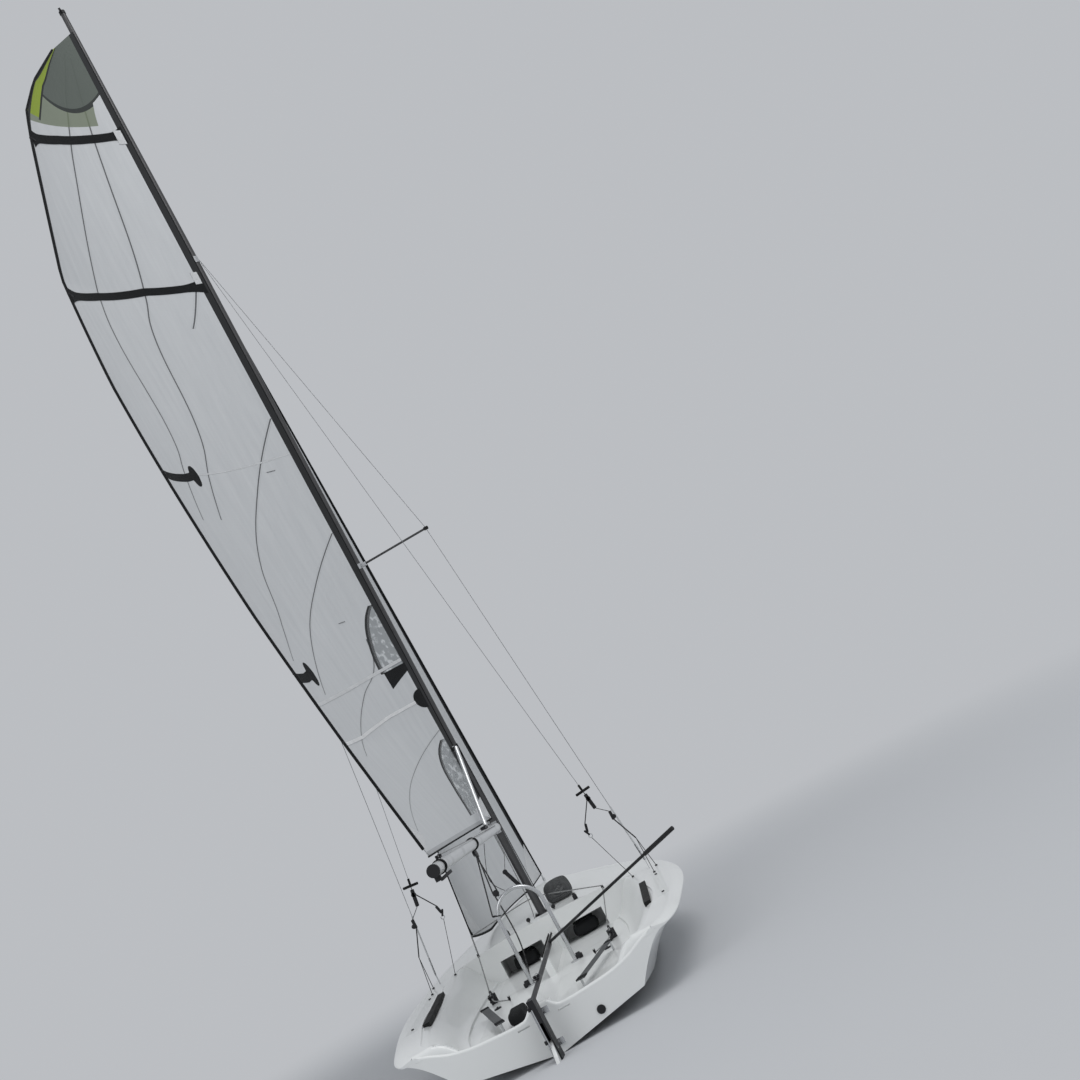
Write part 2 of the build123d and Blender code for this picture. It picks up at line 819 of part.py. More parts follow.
stay_run = Vector(*stay_top) - Vector(*stay_foot)
behind_stay = Vector(-forestay_radius - 1, 0, 0)
jib_tack = Vector(*stay_foot) + stay_run * jib_tack_along + behind_stay
jib_head = Vector(*stay_foot) + stay_run * jib_head_along + behind_stay
jib_leech_top = jib_head + Vector(-jib_head_size[0], jib_head_size[1], 0)
jib_clew = Vector(mast_x - jib_clew_behind_mast, jib_clew_side, jib_clew_z)
jib_faces = []
for luff_share, leech_share, belly in jib_sections:
    luff_point = jib_tack + (jib_head - jib_tack) * luff_share
    leech_point = jib_clew + (jib_leech_top - jib_clew) * leech_share
    jib_faces.append(cloth_section(tuple(luff_point), tuple(leech_point), belly))
keep("jib", loft(jib_faces, ruled=True))

# Mainsheet hoop and its feet
hoop_x = cockpit_front_x - hoop_behind_front
hoop_spring = hoop_apex_z - hoop_half
hoop_low = floor_z + foot_height
hoop_shoulders = [(hoop_x, hoop_half, hoop_spring), (hoop_x, -hoop_half, hoop_spring)]
hoop_path = Wire([
    Line((hoop_x, hoop_half, hoop_low), hoop_shoulders[0]),
    ThreePointArc(hoop_shoulders[0], (hoop_x, 0, hoop_apex_z), hoop_shoulders[1]),
    Line(hoop_shoulders[1], (hoop_x, -hoop_half, hoop_low)),
])
hoop_start = Plane(origin=(hoop_x, hoop_half, hoop_low), z_dir=(0, 0, 1))
keep("mainsheet_hoop", sweep(hoop_start * Circle(hoop_radius), path=hoop_path))
foot = Cylinder(foot_radius, foot_height, align=bottom)
keep("hoop_feet", both_sides(Pos(hoop_x, hoop_half, floor_z) * foot))


def foil(plan, pivot_x, pivot_z, thickness, edge_radius):
    """A board or blade with its long edges rounded, from its outline round its pivot."""
    side_plane = Plane(origin=(pivot_x, thickness / 2, pivot_z), x_dir=(1, 0, 0), z_dir=(0, -1, 0))
    blank = prism(plan, side_plane, thickness)
    long_edges = [edge for edge in blank.edges() if edge.length > board_depth / 2]
    return fillet(long_edges, edge_radius)


# Centreboard on its pin
board_plan = [
    (board_lead, board_head - 40),
    (board_lead - 60, board_head),
    (-60, board_head),
    (board_lead - board_chord, board_head - 60),
    (board_lead - board_chord, -200),
    (board_lead - board_tip_chord, -board_depth),
    (board_lead - 60, -board_depth),
    (board_lead, -board_depth + 90),
]
board = foil(board_plan, board_pivot_x, board_pivot_z, board_thickness, board_edge_radius)
board_hole = crossing_pin(board_pivot_x, board_pivot_z, board_pin_radius + clear, case_outer)
keep("centreboard", board - board_hole)
board_pin = crossing_pin(board_pivot_x, board_pivot_z, board_pin_radius, case_outer)
pieces["centreboard_case"] = pieces["centreboard_case"] - board_pin
keep("centreboard_pin", board_pin)

# Rudder, turned a little to weather about the pintles
steer_axis = Axis((pintle_x, 0, 0), (0, 0, 1))


def steered(shape):
    """Turn a piece of the rudder to the helm angle."""
    return shape.rotate(steer_axis, -helm_angle)


stock_gap = blade_thickness + 2 * blade_gap
stock_whole_width = stock_gap + 2 * stock_cheek
stock_x = pintle_x - stock_gap_aft
stock = Pos(stock_x, 0, stock_foot_z) * Box(
    stock_width, stock_whole_width, stock_top_z - stock_foot_z, align=aft_bottom)
stock_slot = Pos(stock_x - stock_slot_front, 0, stock_foot_z - 1) * Box(
    stock_width, stock_gap, blade_pivot_z + stock_slot_above - stock_foot_z, align=aft_bottom)
foot_slot_length, foot_slot_height = stock_foot_slot
stock_slot_back = Pos(stock_x, 0, stock_foot_z - 1) * Box(
    foot_slot_length, stock_gap, foot_slot_height, align=aft_bottom)
blade_pivot_x = pintle_x - blade_pivot_aft
blade_bolt = crossing_pin(blade_pivot_x, blade_pivot_z, blade_bolt_radius, stock_whole_width)
stock = stock - stock_slot - stock_slot_back - blade_bolt
for level in gudgeon_heights:
    pin = Pos(pintle_x, 0, level + pintle_rise) * Cylinder(pintle_radius, pintle_length)
    arm_place = Pos(pintle_x + 2 * pintle_radius, 0, level + pintle_length / 2)
    arm = arm_place * Box(*pintle_arm, align=aft_middle)
    stock = stock + (arm + pin)

tiller_start = Vector(stock_x - stock_width + tiller_in_stock, 0, tiller_z)
tiller_turn = math.radians(tiller_rise)
tiller_end = tiller_start + Vector(math.cos(tiller_turn), 0, math.sin(tiller_turn)) * tiller_length
tiller = rod(tuple(tiller_start), tuple(tiller_end), tiller_radius)
keep("rudder_stock", steered(stock - tiller))
keep("tiller", steered(tiller))

blade_plan = [
    (30, 30),
    (12, 44),
    (-20, 40),
    (-44, 10),
    (30 - blade_chord, -180),
    (30 - blade_tip_chord, -blade_depth),
    (0, -blade_depth),
    (34, -blade_depth + 80),
    (34, 0),
]
blade = foil(blade_plan, blade_pivot_x, blade_pivot_z, blade_thickness, blade_edge_radius)
blade_hole = crossing_pin(blade_pivot_x, blade_pivot_z, blade_bolt_radius + clear, stock_whole_width)
keep("rudder_blade", steered(blade - blade_hole))
keep("blade_bolt", steered(blade_bolt))

extension_run = Vector(*extension_end) - Vector(*extension_start)
grip_start = Vector(*extension_end) - extension_run.normalized() * extension_grip_length
extension = rod(extension_start, tuple(grip_start), extension_radius)
grip = rod(tuple(grip_start), extension_end, extension_grip_radius)
keep("tiller_extension", steered(extension + grip))
joint = rod(tuple(tiller_end), extension_start, extension_joint_radius)
joint = (joint - tiller - extension).solids().sort_by(SortBy.VOLUME)[-1]
keep("extension_joint", steered(joint))

# Gudgeons on the transom
gudgeon_list = []
arm_gap = gudgeon_radius / 2
for level in gudgeon_heights:
    ring = Pos(pintle_x, 0, level) * Cylinder(gudgeon_radius, gudgeon_thickness)
    arm = Pos(pintle_x + arm_gap, 0, level) * Box(
        -pintle_x - arm_gap, gudgeon_arm_width, gudgeon_thickness, align=forward_middle)
    plate = Pos(0, 0, level) * Box(*gudgeon_plate, align=aft_middle)
    bore = Pos(pintle_x, 0, level) * Cylinder(pintle_radius + clear, pintle_length)
    gudgeon_list.append(ring + arm + plate - bore)
keep("rudder_gudgeons", Compound(gudgeon_list))

# Bowsprit and its sleeve
sprit_back = length_overall - sprit_behind_bow - sprit_length
sprit_ahead = Pos(sprit_back, sprit_y, sprit_z) * Rot(0, 90, 0)
keep("bowsprit", sprit_ahead * extrude(Circle(sprit_radius), sprit_length))
sleeve_place = sprit_ahead * Pos(0, 0, sprit_length - sprit_behind_bow - sleeve_length)
sleeve_hole = sleeve_place * extrude(Circle(sprit_radius + sleeve_wall), sleeve_length)
keep("sprit_sleeve", sleeve_hole - sleeve_place * extrude(Circle(sprit_radius + clear), sleeve_length))

# Deck fittings
grip_points = []
for tenths, y in grip_ends:
    x = along_boat(tenths)
    grip_points.append((x, y, deck_top(x, y) - grip_sunk))
keep("side_deck_grips", both_sides(strip(*grip_points, grip_width, grip_thickness)))

strap_points = [(along_boat(tenths), y, strap_z) for tenths, y in strap_ends]
keep("toe_straps", both_sides(strip(*strap_points, strap_width, strap_thickness)))
strap_run = (Vector(*strap_points[1]) - Vector(*strap_points[0])).normalized() * strap_overhang
post = Cylinder(strap_post_radius, strap_z - floor_z, align=bottom)
posts = []
for place in (Vector(*strap_points[0]) + strap_run, Vector(*strap_points[1]) - strap_run):
    posts.append(Pos(place.X, place.Y, floor_z) * post)
keep("strap_posts", Compound(posts + [mirror(post, about=Plane.XZ) for post in posts]))

cleat = Cylinder(cleat_base_radius, cleat_base_height, align=bottom)
cleat_head = Pos(0, 0, cleat_base_height)
cleat = cleat + cleat_head * Rot(90, 0, 0) * Cylinder(cleat_sheave_radius, cleat_sheave_width)
cleat = cleat + cleat_head * Rot(0, -cleat_arm_turn, 0) * Box(*cleat_arm, align=aft_middle)
keep("jib_cleats", both_sides(Pos(cockpit_front_x - cleat_behind_front, cleat_y, floor_z) * cleat))
bung = Pos(-bung_let_in, bung_y, bung_z) * Rot(0, 90, 0) * Cylinder(bung_radius, bung_depth, align=bottom)
keep("transom_bung", bung)
bag = fillet(Box(bag_length, bag_width, bag_depth, align=bottom).edges(), bag_corner)
keep("halyard_bags", both_sides(Pos(cockpit_front_x + bag_in, locker_middle, floor_z) * bag))

for name in ("side_deck_grips", "chainplates", "stem_fitting", "transom_bung"):
    deck = deck - pieces[name]
    hull_shell = hull_shell - pieces[name]
keep("deck_moulding", deck)
keep("hull_shell", hull_shell - sleeve_hole)

for node, shape in pieces.items():
    export_step(shape, f"parts/{node}.step")
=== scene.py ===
import json
import math

import bpy
from mathutils import Matrix, Vector


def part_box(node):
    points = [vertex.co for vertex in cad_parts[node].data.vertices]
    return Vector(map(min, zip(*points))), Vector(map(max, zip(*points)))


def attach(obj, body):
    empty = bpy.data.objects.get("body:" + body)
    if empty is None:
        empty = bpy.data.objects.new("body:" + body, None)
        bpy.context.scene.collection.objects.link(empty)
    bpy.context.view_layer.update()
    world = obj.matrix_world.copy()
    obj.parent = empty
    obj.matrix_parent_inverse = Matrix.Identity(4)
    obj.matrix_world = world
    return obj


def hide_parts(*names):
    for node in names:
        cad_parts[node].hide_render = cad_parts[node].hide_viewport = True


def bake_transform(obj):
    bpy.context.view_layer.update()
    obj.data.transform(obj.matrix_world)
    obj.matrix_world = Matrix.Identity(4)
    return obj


# Sailing dinghy under mainsail and jib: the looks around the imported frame.
# Metres; x runs forward, y to port, z up from the waterline.
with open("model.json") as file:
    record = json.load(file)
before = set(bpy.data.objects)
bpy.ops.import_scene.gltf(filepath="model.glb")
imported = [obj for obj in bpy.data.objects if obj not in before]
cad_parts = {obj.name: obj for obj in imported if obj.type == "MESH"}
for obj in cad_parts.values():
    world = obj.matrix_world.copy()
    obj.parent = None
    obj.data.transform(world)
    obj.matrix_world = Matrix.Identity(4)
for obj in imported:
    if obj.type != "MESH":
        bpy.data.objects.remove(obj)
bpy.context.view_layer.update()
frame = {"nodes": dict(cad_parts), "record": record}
sides = (("port", 1), ("starboard", -1))
tape_black = (0.014, 0.015, 0.016)


def at(x, y, z):
    return Vector((x, y, z))


# Camera of the photograph, close astern and rolled by the boat's heel
photo_lens = 50.07
photo_place = at(-8.152, -0.973, 1.3)
photo_yaw = -0.027
photo_pitch = 0.139
photo_roll = -0.503

# Rig frame, forward, port and up along the mast from its foot
mast_foot = at(2.831, 0, 0.458)
mast_rake = math.radians(1.95)
luff_aft = 0.062
hounds_h = 5.467
gooseneck_h = 0.698
boom_angle = math.radians(4.4)
boom_slope = math.radians(1.74)

# Mainsail: luff height, leech height, chord, degrees off the centreline, belly as a share of chord
main_sections = [
    (0.770, 0.850, 2.400, 4.6, 0.020),
    (1.600, 1.650, 2.355, 8.0, 0.080),
    (2.500, 2.540, 2.240, 12.0, 0.100),
    (3.400, 3.420, 2.075, 16.0, 0.105),
    (4.300, 4.310, 1.870, 20.5, 0.100),
    (5.200, 5.200, 1.620, 24.6, 0.095),
    (6.350, 6.350, 1.160, 25.3, 0.080),
    (6.600, 6.600, 1.050, 25.3, 0.072),
    (6.900, 6.900, 0.790, 25.3, 0.060),
    (7.500, 7.250, 0.380, 25.0, 0.030),
]
# Jib: share up the luff, share up the leech, belly as a share of chord
jib_sections = [
    (0.00, 0.00, 0.050),
    (0.20, 0.22, 0.110),
    (0.45, 0.48, 0.120),
    (0.70, 0.73, 0.110),
    (0.88, 0.90, 0.080),
    (1.00, 1.00, 0.030),
]
belly_place = 0.45
cloth_thickness = 0.0016
jib_clew = at(2.8, 0.519, 0.56)
stem_tack = at(4.392, 0, 0.575)
jib_tack_along = 0.01
jib_head_along = 0.93
foot_round = 0.09


def rig(forward, port, up):
    """A point of the rig frame, in the boat's frame."""
    return mast_foot + Matrix.Rotation(-mast_rake, 3, "Y") @ at(forward, port, up)


def boom_point(along, port=0.0, up=0.0):
    """A point beside the boom, from its pin outwards."""
    slope = Matrix.Rotation(boom_slope, 3, "Y")
    swing = Matrix.Rotation(-boom_angle, 3, "Z")
    offset = swing @ (slope @ at(-along, port, up))
    return rig(offset.x - luff_aft, offset.y, offset.z + gooseneck_h)


def between(rows, value):
    """A table's row at any value of its first column."""
    for low, high in zip(rows, rows[1:]):
        if value <= high[0]:
            break
    share = (value - low[0]) / (high[0] - low[0])
    return [a + (b - a) * share for a, b in zip(low, high)]


def bellied(luff, leech, share, belly):
    """A point of a sail's strip, its hollow side to starboard."""
    chord = leech - luff
    length = chord.length
    leeward = -at(0, 0, 1).cross(chord).normalized()
    middle_x = belly_place * length
    middle_y = belly * length
    centre_x = length / 2
    centre_y = (middle_x**2 + middle_y**2 - middle_x * length) / (2 * middle_y)
    radius = math.hypot(centre_x, centre_y)
    along = share * length
    rise = centre_y + math.sqrt(max(radius**2 - (along - centre_x) ** 2, 0))
    return luff + chord * share + leeward * rise


def main_surface(aft, height):
    """The mainsail at a distance aft of the luff and a height up it."""
    _, leech_h, chord, angle, belly = between(main_sections, height)
    turn = math.radians(angle)
    luff = rig(-luff_aft, 0, height)
    leech = rig(-luff_aft - chord * math.cos(turn), chord * math.sin(turn), leech_h)
    return bellied(luff, leech, aft / chord, belly)


def main_chord(height):
    """The mainsail's length from luff to leech at a height."""
    return between(main_sections, height)[2]


def on_deck(x, y, lift=0.0):
    """The place straight below a point on the deck or cockpit floor, plus a lift."""
    _, place, _, _ = frame["nodes"]["deck_moulding"].ray_cast(at(x, y, 2), at(0, 0, -1))
    return place + at(0, 0, lift)


stay_top = rig(0.042, 0, hounds_h)
jib_tack = stem_tack.lerp(stay_top, jib_tack_along) - at(0.004, 0, 0)
jib_head = stem_tack.lerp(stay_top, jib_head_along) - at(0.004, 0, 0)
jib_leech_top = jib_head + at(-0.07, 0.012, 0)


def jib_surface(aft_share, up_share):
    """The jib at a share of its chord and a share of its luff."""
    _, leech_share, belly = between(jib_sections, up_share)
    leech = jib_clew.lerp(jib_leech_top, leech_share)
    place = bellied(jib_tack.lerp(jib_head, up_share), leech, aft_share, belly)
    place.z -= foot_round * 4 * aft_share * (1 - aft_share) * max(0.0, 1 - up_share / 0.05)
    if up_share < 0.05:
        place.z = max(place.z, on_deck(place.x, place.y, 0.015 + up_share).z)
    return place


# Finishes
def operator(operation, reflected=False):
    """One of Python's operators as a Math node."""
    def worked(self, other):
        return self.maths(operation, other, self) if reflected else self.maths(operation, self, other)
    return worked


class Wave:
    """A number that varies over a surface, worked with Python's operators."""

    def __init__(self, finish, socket):
        self.finish = finish
        self.socket = socket

    def maths(self, operation, *values):
        return self.finish.wave("Math", {"operation": operation}, dict(enumerate(values)))

    __add__, __radd__ = operator("ADD"), operator("ADD", True)
    __sub__, __rsub__ = operator("SUBTRACT"), operator("SUBTRACT", True)
    __mul__, __rmul__ = operator("MULTIPLY"), operator("MULTIPLY", True)
    __truediv__, __or__ = operator("DIVIDE"), operator("MAXIMUM")
    __lt__, __gt__ = operator("LESS_THAN"), operator("GREATER_THAN")

    def __abs__(self):
        return self.maths("ABSOLUTE", self)

    def sine(self):
        return self.maths("SINE", self)

    def within(self, low, high):
        """1 between two values and 0 outside."""
        return (self > low) * (self < high)

    def rising(self, low, high):
        """A soft step from 0 at low to 1 at high."""
        sockets = {"Value": self, "From Min": low, "From Max": high}
        return self.finish.wave("MapRange", {"interpolation_type": "SMOOTHSTEP"}, sockets)

    def along(self, points):
        """Its value on a smooth line through points, all in metres."""
        shares = [(a / curve_top, b / curve_top) for a, b in points]
        return self.finish.wave("FloatCurve", {"points": shares}, {"Value": self / curve_top}) * curve_top


def opaque(colour):
    """A colour with its alpha; a link stays as it is."""
    return (*colour, 1) if isinstance(colour, tuple) else colour


class Finish:
    """One material or the world, with one method for all its nodes."""

    def __init__(self, name, made=None):
        self.made = made or bpy.data.materials.new(name)
        self.made.use_nodes = True
        self.tree = self.made.node_tree
        self.tree.nodes.clear()

    def node(self, kind, settings, sockets):
        """A node: its settings first, then its sockets' values or links."""
        made = self.tree.nodes.new("ShaderNode" + kind)
        for name, value in settings.items():
            if name == "points":
                curve = made.mapping.curves[0]
                while len(curve.points) < len(value):
                    curve.points.new(0.5, 0.5)
                for point, place in zip(curve.points, value):
                    point.location = place
                made.mapping.update()
            else:
                setattr(made, name, value)
        for name, value in sockets.items():
            if isinstance(value, Wave):
                value = value.socket
            if isinstance(value, bpy.types.NodeSocket):
                self.tree.links.new(value, made.inputs[name])
            else:
                made.inputs[name].default_value = value
        return made

    def wave(self, kind, settings, sockets):
        """The number that a node gives."""
        return Wave(self, self.node(kind, settings, sockets).outputs[0])

    def place(self, kind="TexCoord", output="Object"):
        """The point on the object or on its UV map, as a vector and as its parts."""
        vector = self.node(kind, {}, {}).outputs[output]
        split = self.node("SeparateXYZ", {}, {"Vector": vector})
        return vector, *(Wave(self, part) for part in split.outputs)

    def stretched(self, vector, scale):
        return self.node("Mapping", {}, {"Vector": vector, "Scale": scale}).outputs[0]

    def noise(self, vector, scale, detail=3):
        return self.wave("TexNoise", {}, {"Vector": vector, "Scale": scale, "Detail": detail})

    def mix(self, share, first, second):
        """A colour between two colours."""
        sockets = {0: share, 6: opaque(first), 7: opaque(second)}
        return self.node("Mix", {"data_type": "RGBA"}, sockets).outputs[2]

    def shade(self, colour, roughness, height, depth, **sockets):
        """The surface, with a bump of a depth in metres."""
        bump = self.node("Bump", {}, {"Height": height, "Distance": depth, "Strength": 1.0})
        values = {"Base Color": opaque(colour), "Roughness": roughness, "Normal": bump.outputs[0], **sockets}
        surface = self.node("BsdfPrincipled", {}, values)
        self.node("OutputMaterial", {}, {"Surface": surface.outputs[0]})
        return self.made


def gelcoat(name, non_slip):
    """White gelcoat: faint mottling and scuffs, pebbled where feet go."""
    finish = Finish(name)
    vector, x, y, z = finish.place()
    side = abs(y)
    mottle = finish.noise(vector, 1.6)
    scuff = finish.noise(finish.stretched(vector, (1, 5, 5)), 26, 5).rising(0.62, 0.78)
    colour = finish.mix(mottle, (0.74, 0.755, 0.75), (0.81, 0.82, 0.815))
    colour = finish.mix(scuff * 0.22, colour, (0.6, 0.61, 0.6))
    roughness = 0.24 + 0.14 * mottle + 0.12 * scuff
    height = finish.noise(vector, 3.0) * 0.6
    if non_slip:
        floor = (1 - side.rising(0.42, 0.435)) * side.rising(0.05, 0.06) * x.within(0.1, 2.56) * (z < 0.206)
        side_deck = side.rising(0.8, 0.815) * (1 - side.rising(0.88, 0.895)) * x.within(0.95, 2.2) * (z > 0.33)
        pads = side_deck | floor
        pebble = finish.wave("TexVoronoi", {}, {"Vector": vector, "Scale": 210})
        colour = finish.mix(pads * 0.35, colour, (0.62, 0.635, 0.63))
        worn = finish.noise(vector, 7, 4).rising(0.55, 0.75)
        colour = finish.mix(floor * worn * 0.3, colour, (0.5, 0.5, 0.485))
        roughness = roughness + 0.28 * pads
        height = height + pads * pebble * 1.2
    return finish.shade(colour, roughness, height, 0.0008, **{"Coat Weight": 0.35})


def metal(name, colour, roughness, drawn):
    """Metal drawn along one direction, with faint handling marks."""
    finish = Finish(name)
    vector = finish.place()[0]
    grain = finish.noise(finish.stretched(vector, drawn), 60, 2)
    marks = finish.noise(vector, 9, 4).rising(0.5, 0.75)
    shade = finish.mix(marks * 0.5, colour, tuple(0.72 * c for c in colour))
    return finish.shade(shade, roughness + 0.12 * grain + 0.1 * marks, grain, 0.00006, Metallic=0.9)


def stranded(name):
    """Stranded wire, twisted into fine slanting ridges, with painted shade darkening the grooves between its strands.
    """
    finish = Finish(name)
    vector, x, y, z = finish.place()
    lay = ((z * 900) + (x + y) * 1400).sine()
    # Painted shade: the colour is darkest in the grooves between strands and lightest on the ridges
    colour = finish.mix(lay * 0.5 + 0.5, (0.16, 0.165, 0.17), (0.5, 0.51, 0.52))
    return finish.shade(colour, 0.38, lay, 0.0004, Metallic=0.85)


def moulded(name, colour, roughness, grain_size):
    """Moulded plastic or rubber, grained and rubbed."""
    finish = Finish(name)
    vector = finish.place()[0]
    grain = finish.noise(vector, grain_size, 2)
    rubbed = finish.noise(vector, 14, 4).rising(0.55, 0.8)
    light = tuple(min(1.0, c * 2.1 + 0.012) for c in colour)
    shade = finish.mix(rubbed * 0.5, colour, light)
    return finish.shade(shade, roughness - 0.14 * rubbed, grain, 0.0003, **{"Specular IOR Level": 0.32})


def woven(name, colour, pitch, roughness=0.85):
    """Woven webbing or coated cloth, its yarns crossing at a pitch in metres."""
    finish = Finish(name)
    vector, x, y, z = finish.place()
    turn = math.tau / pitch
    yarns = ((x + z * 0.7) * turn).sine() * (y * turn).sine()
    fade = finish.noise(vector, 11, 4)
    shade = finish.mix(fade * 0.6 + yarns * 0.15, colour, tuple(0.6 * c for c in colour))
    return finish.shade(shade, roughness, yarns + 0.6 * fade, pitch * 0.25, **{"Specular IOR Level": 0.2})


def braided(name, colour, fleck, share):
    """Braided line with a coloured fleck."""
    finish = Finish(name)
    vector, x, y, z = finish.place()
    plait = ((x + y + z) * 1100).sine() * ((x - y + z * 0.6) * 1100).sine()
    flecks = (plait > share) * finish.noise(vector, 90, 1).rising(0.4, 0.5)
    shade = finish.mix(flecks, colour, fleck)
    return finish.shade(shade, 0.8, plait, 0.0006, **{"Specular IOR Level": 0.25})


def netting(name):
    """Black mesh cloth."""
    finish = Finish(name)
    vector, x, y, z = finish.place()
    turn = math.tau / 0.009
    strands = abs((x * turn).sine()) | abs((y * turn).sine()) * abs((z * turn).sine())
    solid = strands.rising(0.55, 0.75)
    fade = finish.noise(vector, 12, 4)
    shade = finish.mix(fade, (0.02, 0.021, 0.022), (0.075, 0.078, 0.08))
    return finish.shade(shade, 0.8, strands, 0.001, Alpha=solid * 0.35 + 0.62)


# Lines on the mainsail, each as height up the luff and distance aft of it
seam_lines = [
    [(3.33, 1.59), (3.73, 1.38), (3.96, 1.25), (4.88, 1.22), (5.11, 1.16), (6.23, 0.71), (6.75, 0.48), (7.36, 0.21)],
    [(3.36, 1.23), (3.69, 1.05), (4.01, 0.86), (4.93, 0.72), (5.20, 0.60), (6.26, 0.38), (6.55, 0.33), (7.29, 0.17)],
    [(2.24, 1.64), (2.59, 1.27), (2.97, 1.07), (3.57, 0.55), (4.10, 0.06)],
    [(1.98, 1.43), (2.25, 1.15), (2.53, 0.84), (2.79, 0.50), (3.13, 0.06)],
    [(1.50, 1.56), (1.76, 1.07), (1.92, 0.75), (2.11, 0.38), (2.30, 0.30)],
    [(0.87, 2.20), (1.02, 1.84), (1.18, 1.31), (1.31, 0.80), (1.50, 0.06)],
    [(4.91, 0.31), (5.00, 0.24), (5.21, 0.11)],
]
# Clear windows: height, and the edge's distance aft of the luff
window_lines = [
    [(2.02, 0.34), (2.10, 0.335), (2.27, 0.28), (2.42, 0.19), (2.53, 0.07)],
    [(0.86, 0.42), (0.93, 0.40), (1.08, 0.37), (1.28, 0.30), (1.43, 0.10)],
]
curve_top = 8.0
luff_band_width = 0.055
leech_tape_width = 0.03
leech_tape_low = 0.82
main_foot_h = main_sections[0][0]
main_head_h = main_sections[-1][0]


def sailcloth(name):
    """White laminate with a faint scrim, read on the sail's own pattern map."""
    finish = Finish(name)
    vector, aft, up, _ = finish.place("UVMap", "UV")
    streak = finish.noise(finish.stretched(vector, (9, 0.8, 1)), 2.2, 5)
    crinkle = finish.noise(finish.stretched(vector, (3, 1, 1)), 5, 6)
    scrim = ((aft * 260).sine() | (up * 260).sine()).rising(0.8, 0.98)
    colour = finish.mix(streak, (0.51, 0.525, 0.54), (0.62, 0.63, 0.64))
    colour = finish.mix(scrim * 0.06, colour, (0.45, 0.46, 0.48))
    return finish, vector, aft, up, colour, streak * 2.0 + crinkle * 1.2, 0.48 + 0.1 * streak


def mainsail_finish():
    """The mainsail's cloth: seams, windows with painted highlights on their film, dark and lime head, and tapes."""
    finish, vector, aft, up, colour, height, roughness = sailcloth("mainsail cloth")
    for seam in seam_lines:
        off = abs(aft - up.along(seam))
        inside = up.within(seam[0][0], seam[-1][0])
        lapped = (off < 0.022) * inside
        colour = finish.mix(lapped * 0.1, colour, (0.4, 0.41, 0.42))
        colour = finish.mix((off < 0.0075) * inside * 0.88, colour, (0.055, 0.056, 0.06))
        height = height + lapped * 0.8
    clear = None
    # One noise for the window film: its crinkle bump, and painted highlights (glints) in the panes' colour
    film_crinkle_and_painted_glints = finish.noise(vector, 17, 4)
    for window in window_lines:
        edge = up.along(window)
        inside = up.within(window[0][0], window[-1][0])
        pane = (aft < edge) * (aft > luff_band_width) * inside
        clear = pane if clear is None else clear | pane
        colour = finish.mix(pane, colour, (0.33, 0.35, 0.36))
        # Painted highlights: lighter patches in the panes where the crinkled film would glint
        colour = finish.mix(pane * film_crinkle_and_painted_glints.rising(0.5, 0.66), colour, (0.72, 0.74, 0.75))
        colour = finish.mix((abs(aft - edge) < 0.028) * inside, colour, (0.016, 0.018, 0.018))
    heights = [main_foot_h + (main_head_h - main_foot_h) * i / 26 for i in range(27)]
    to_leech = up.along([(h, main_chord(h)) for h in heights]) - aft
    patch_front = up.along([(6.4, 0.24), (6.7, 0.21), (6.9, 0.15), (7.45, 0.05)])
    arc = 6.75 + (aft - 0.48) * (aft - 0.48)
    head = (up > 6.68 - 0.14 * aft) * ((aft > patch_front) | (up > arc))
    colour = finish.mix(head * 0.85, colour, (0.155, 0.185, 0.115))
    colour = finish.mix(head * (up > arc) * 0.85, colour, (0.085, 0.1, 0.092))
    colour = finish.mix(head * (abs(up - arc) < 0.024 - 0.014 * aft), colour, (0.03, 0.036, 0.033))
    strip_width = 0.15 - 0.08 * up.rising(6.6, 7.4)
    colour = finish.mix((to_leech < strip_width) * (up > 6.6), colour, (0.27, 0.36, 0.03))
    strip_edge = (abs(to_leech - strip_width) < 0.011) * (up > 6.58)
    drawn_in = 0.03 * (1 - up.rising(main_foot_h, leech_tape_low))
    leech_band = abs(to_leech - drawn_in - leech_tape_width / 2) < leech_tape_width / 2
    colour = finish.mix((aft < luff_band_width) | leech_band | strip_edge, colour, tape_black)
    colour = finish.mix((up < 0.8) * 0.6, colour, (0.3, 0.31, 0.32))
    looks = {"Specular IOR Level": 0.35, "Alpha": 1 - 0.45 * clear}
    return finish.shade(colour, roughness - 0.3 * clear, height + clear * film_crinkle_and_painted_glints * 6, 0.0016, **looks)


def jib_finish():
    """The jib's cloth, with radial seams and black edges."""
    finish, _, aft, up, colour, height, roughness = sailcloth("jib cloth")
    for clear_of, slope in ((0.3, 0.55), (0.62, 1.15), (0.95, 2.6)):
        off = abs(up - clear_of - slope * (1 - aft)) / (1 + slope)
        colour = finish.mix((off < 0.004) * aft.within(0.05, 0.97) * 0.75, colour, (0.13, 0.13, 0.14))
    colour = finish.mix((aft < 0.022) | (aft > 0.985) | (up < 0.002), colour, tape_black)
    return finish.shade(colour, roughness, height, 0.0016, **{"Specular IOR Level": 0.35})


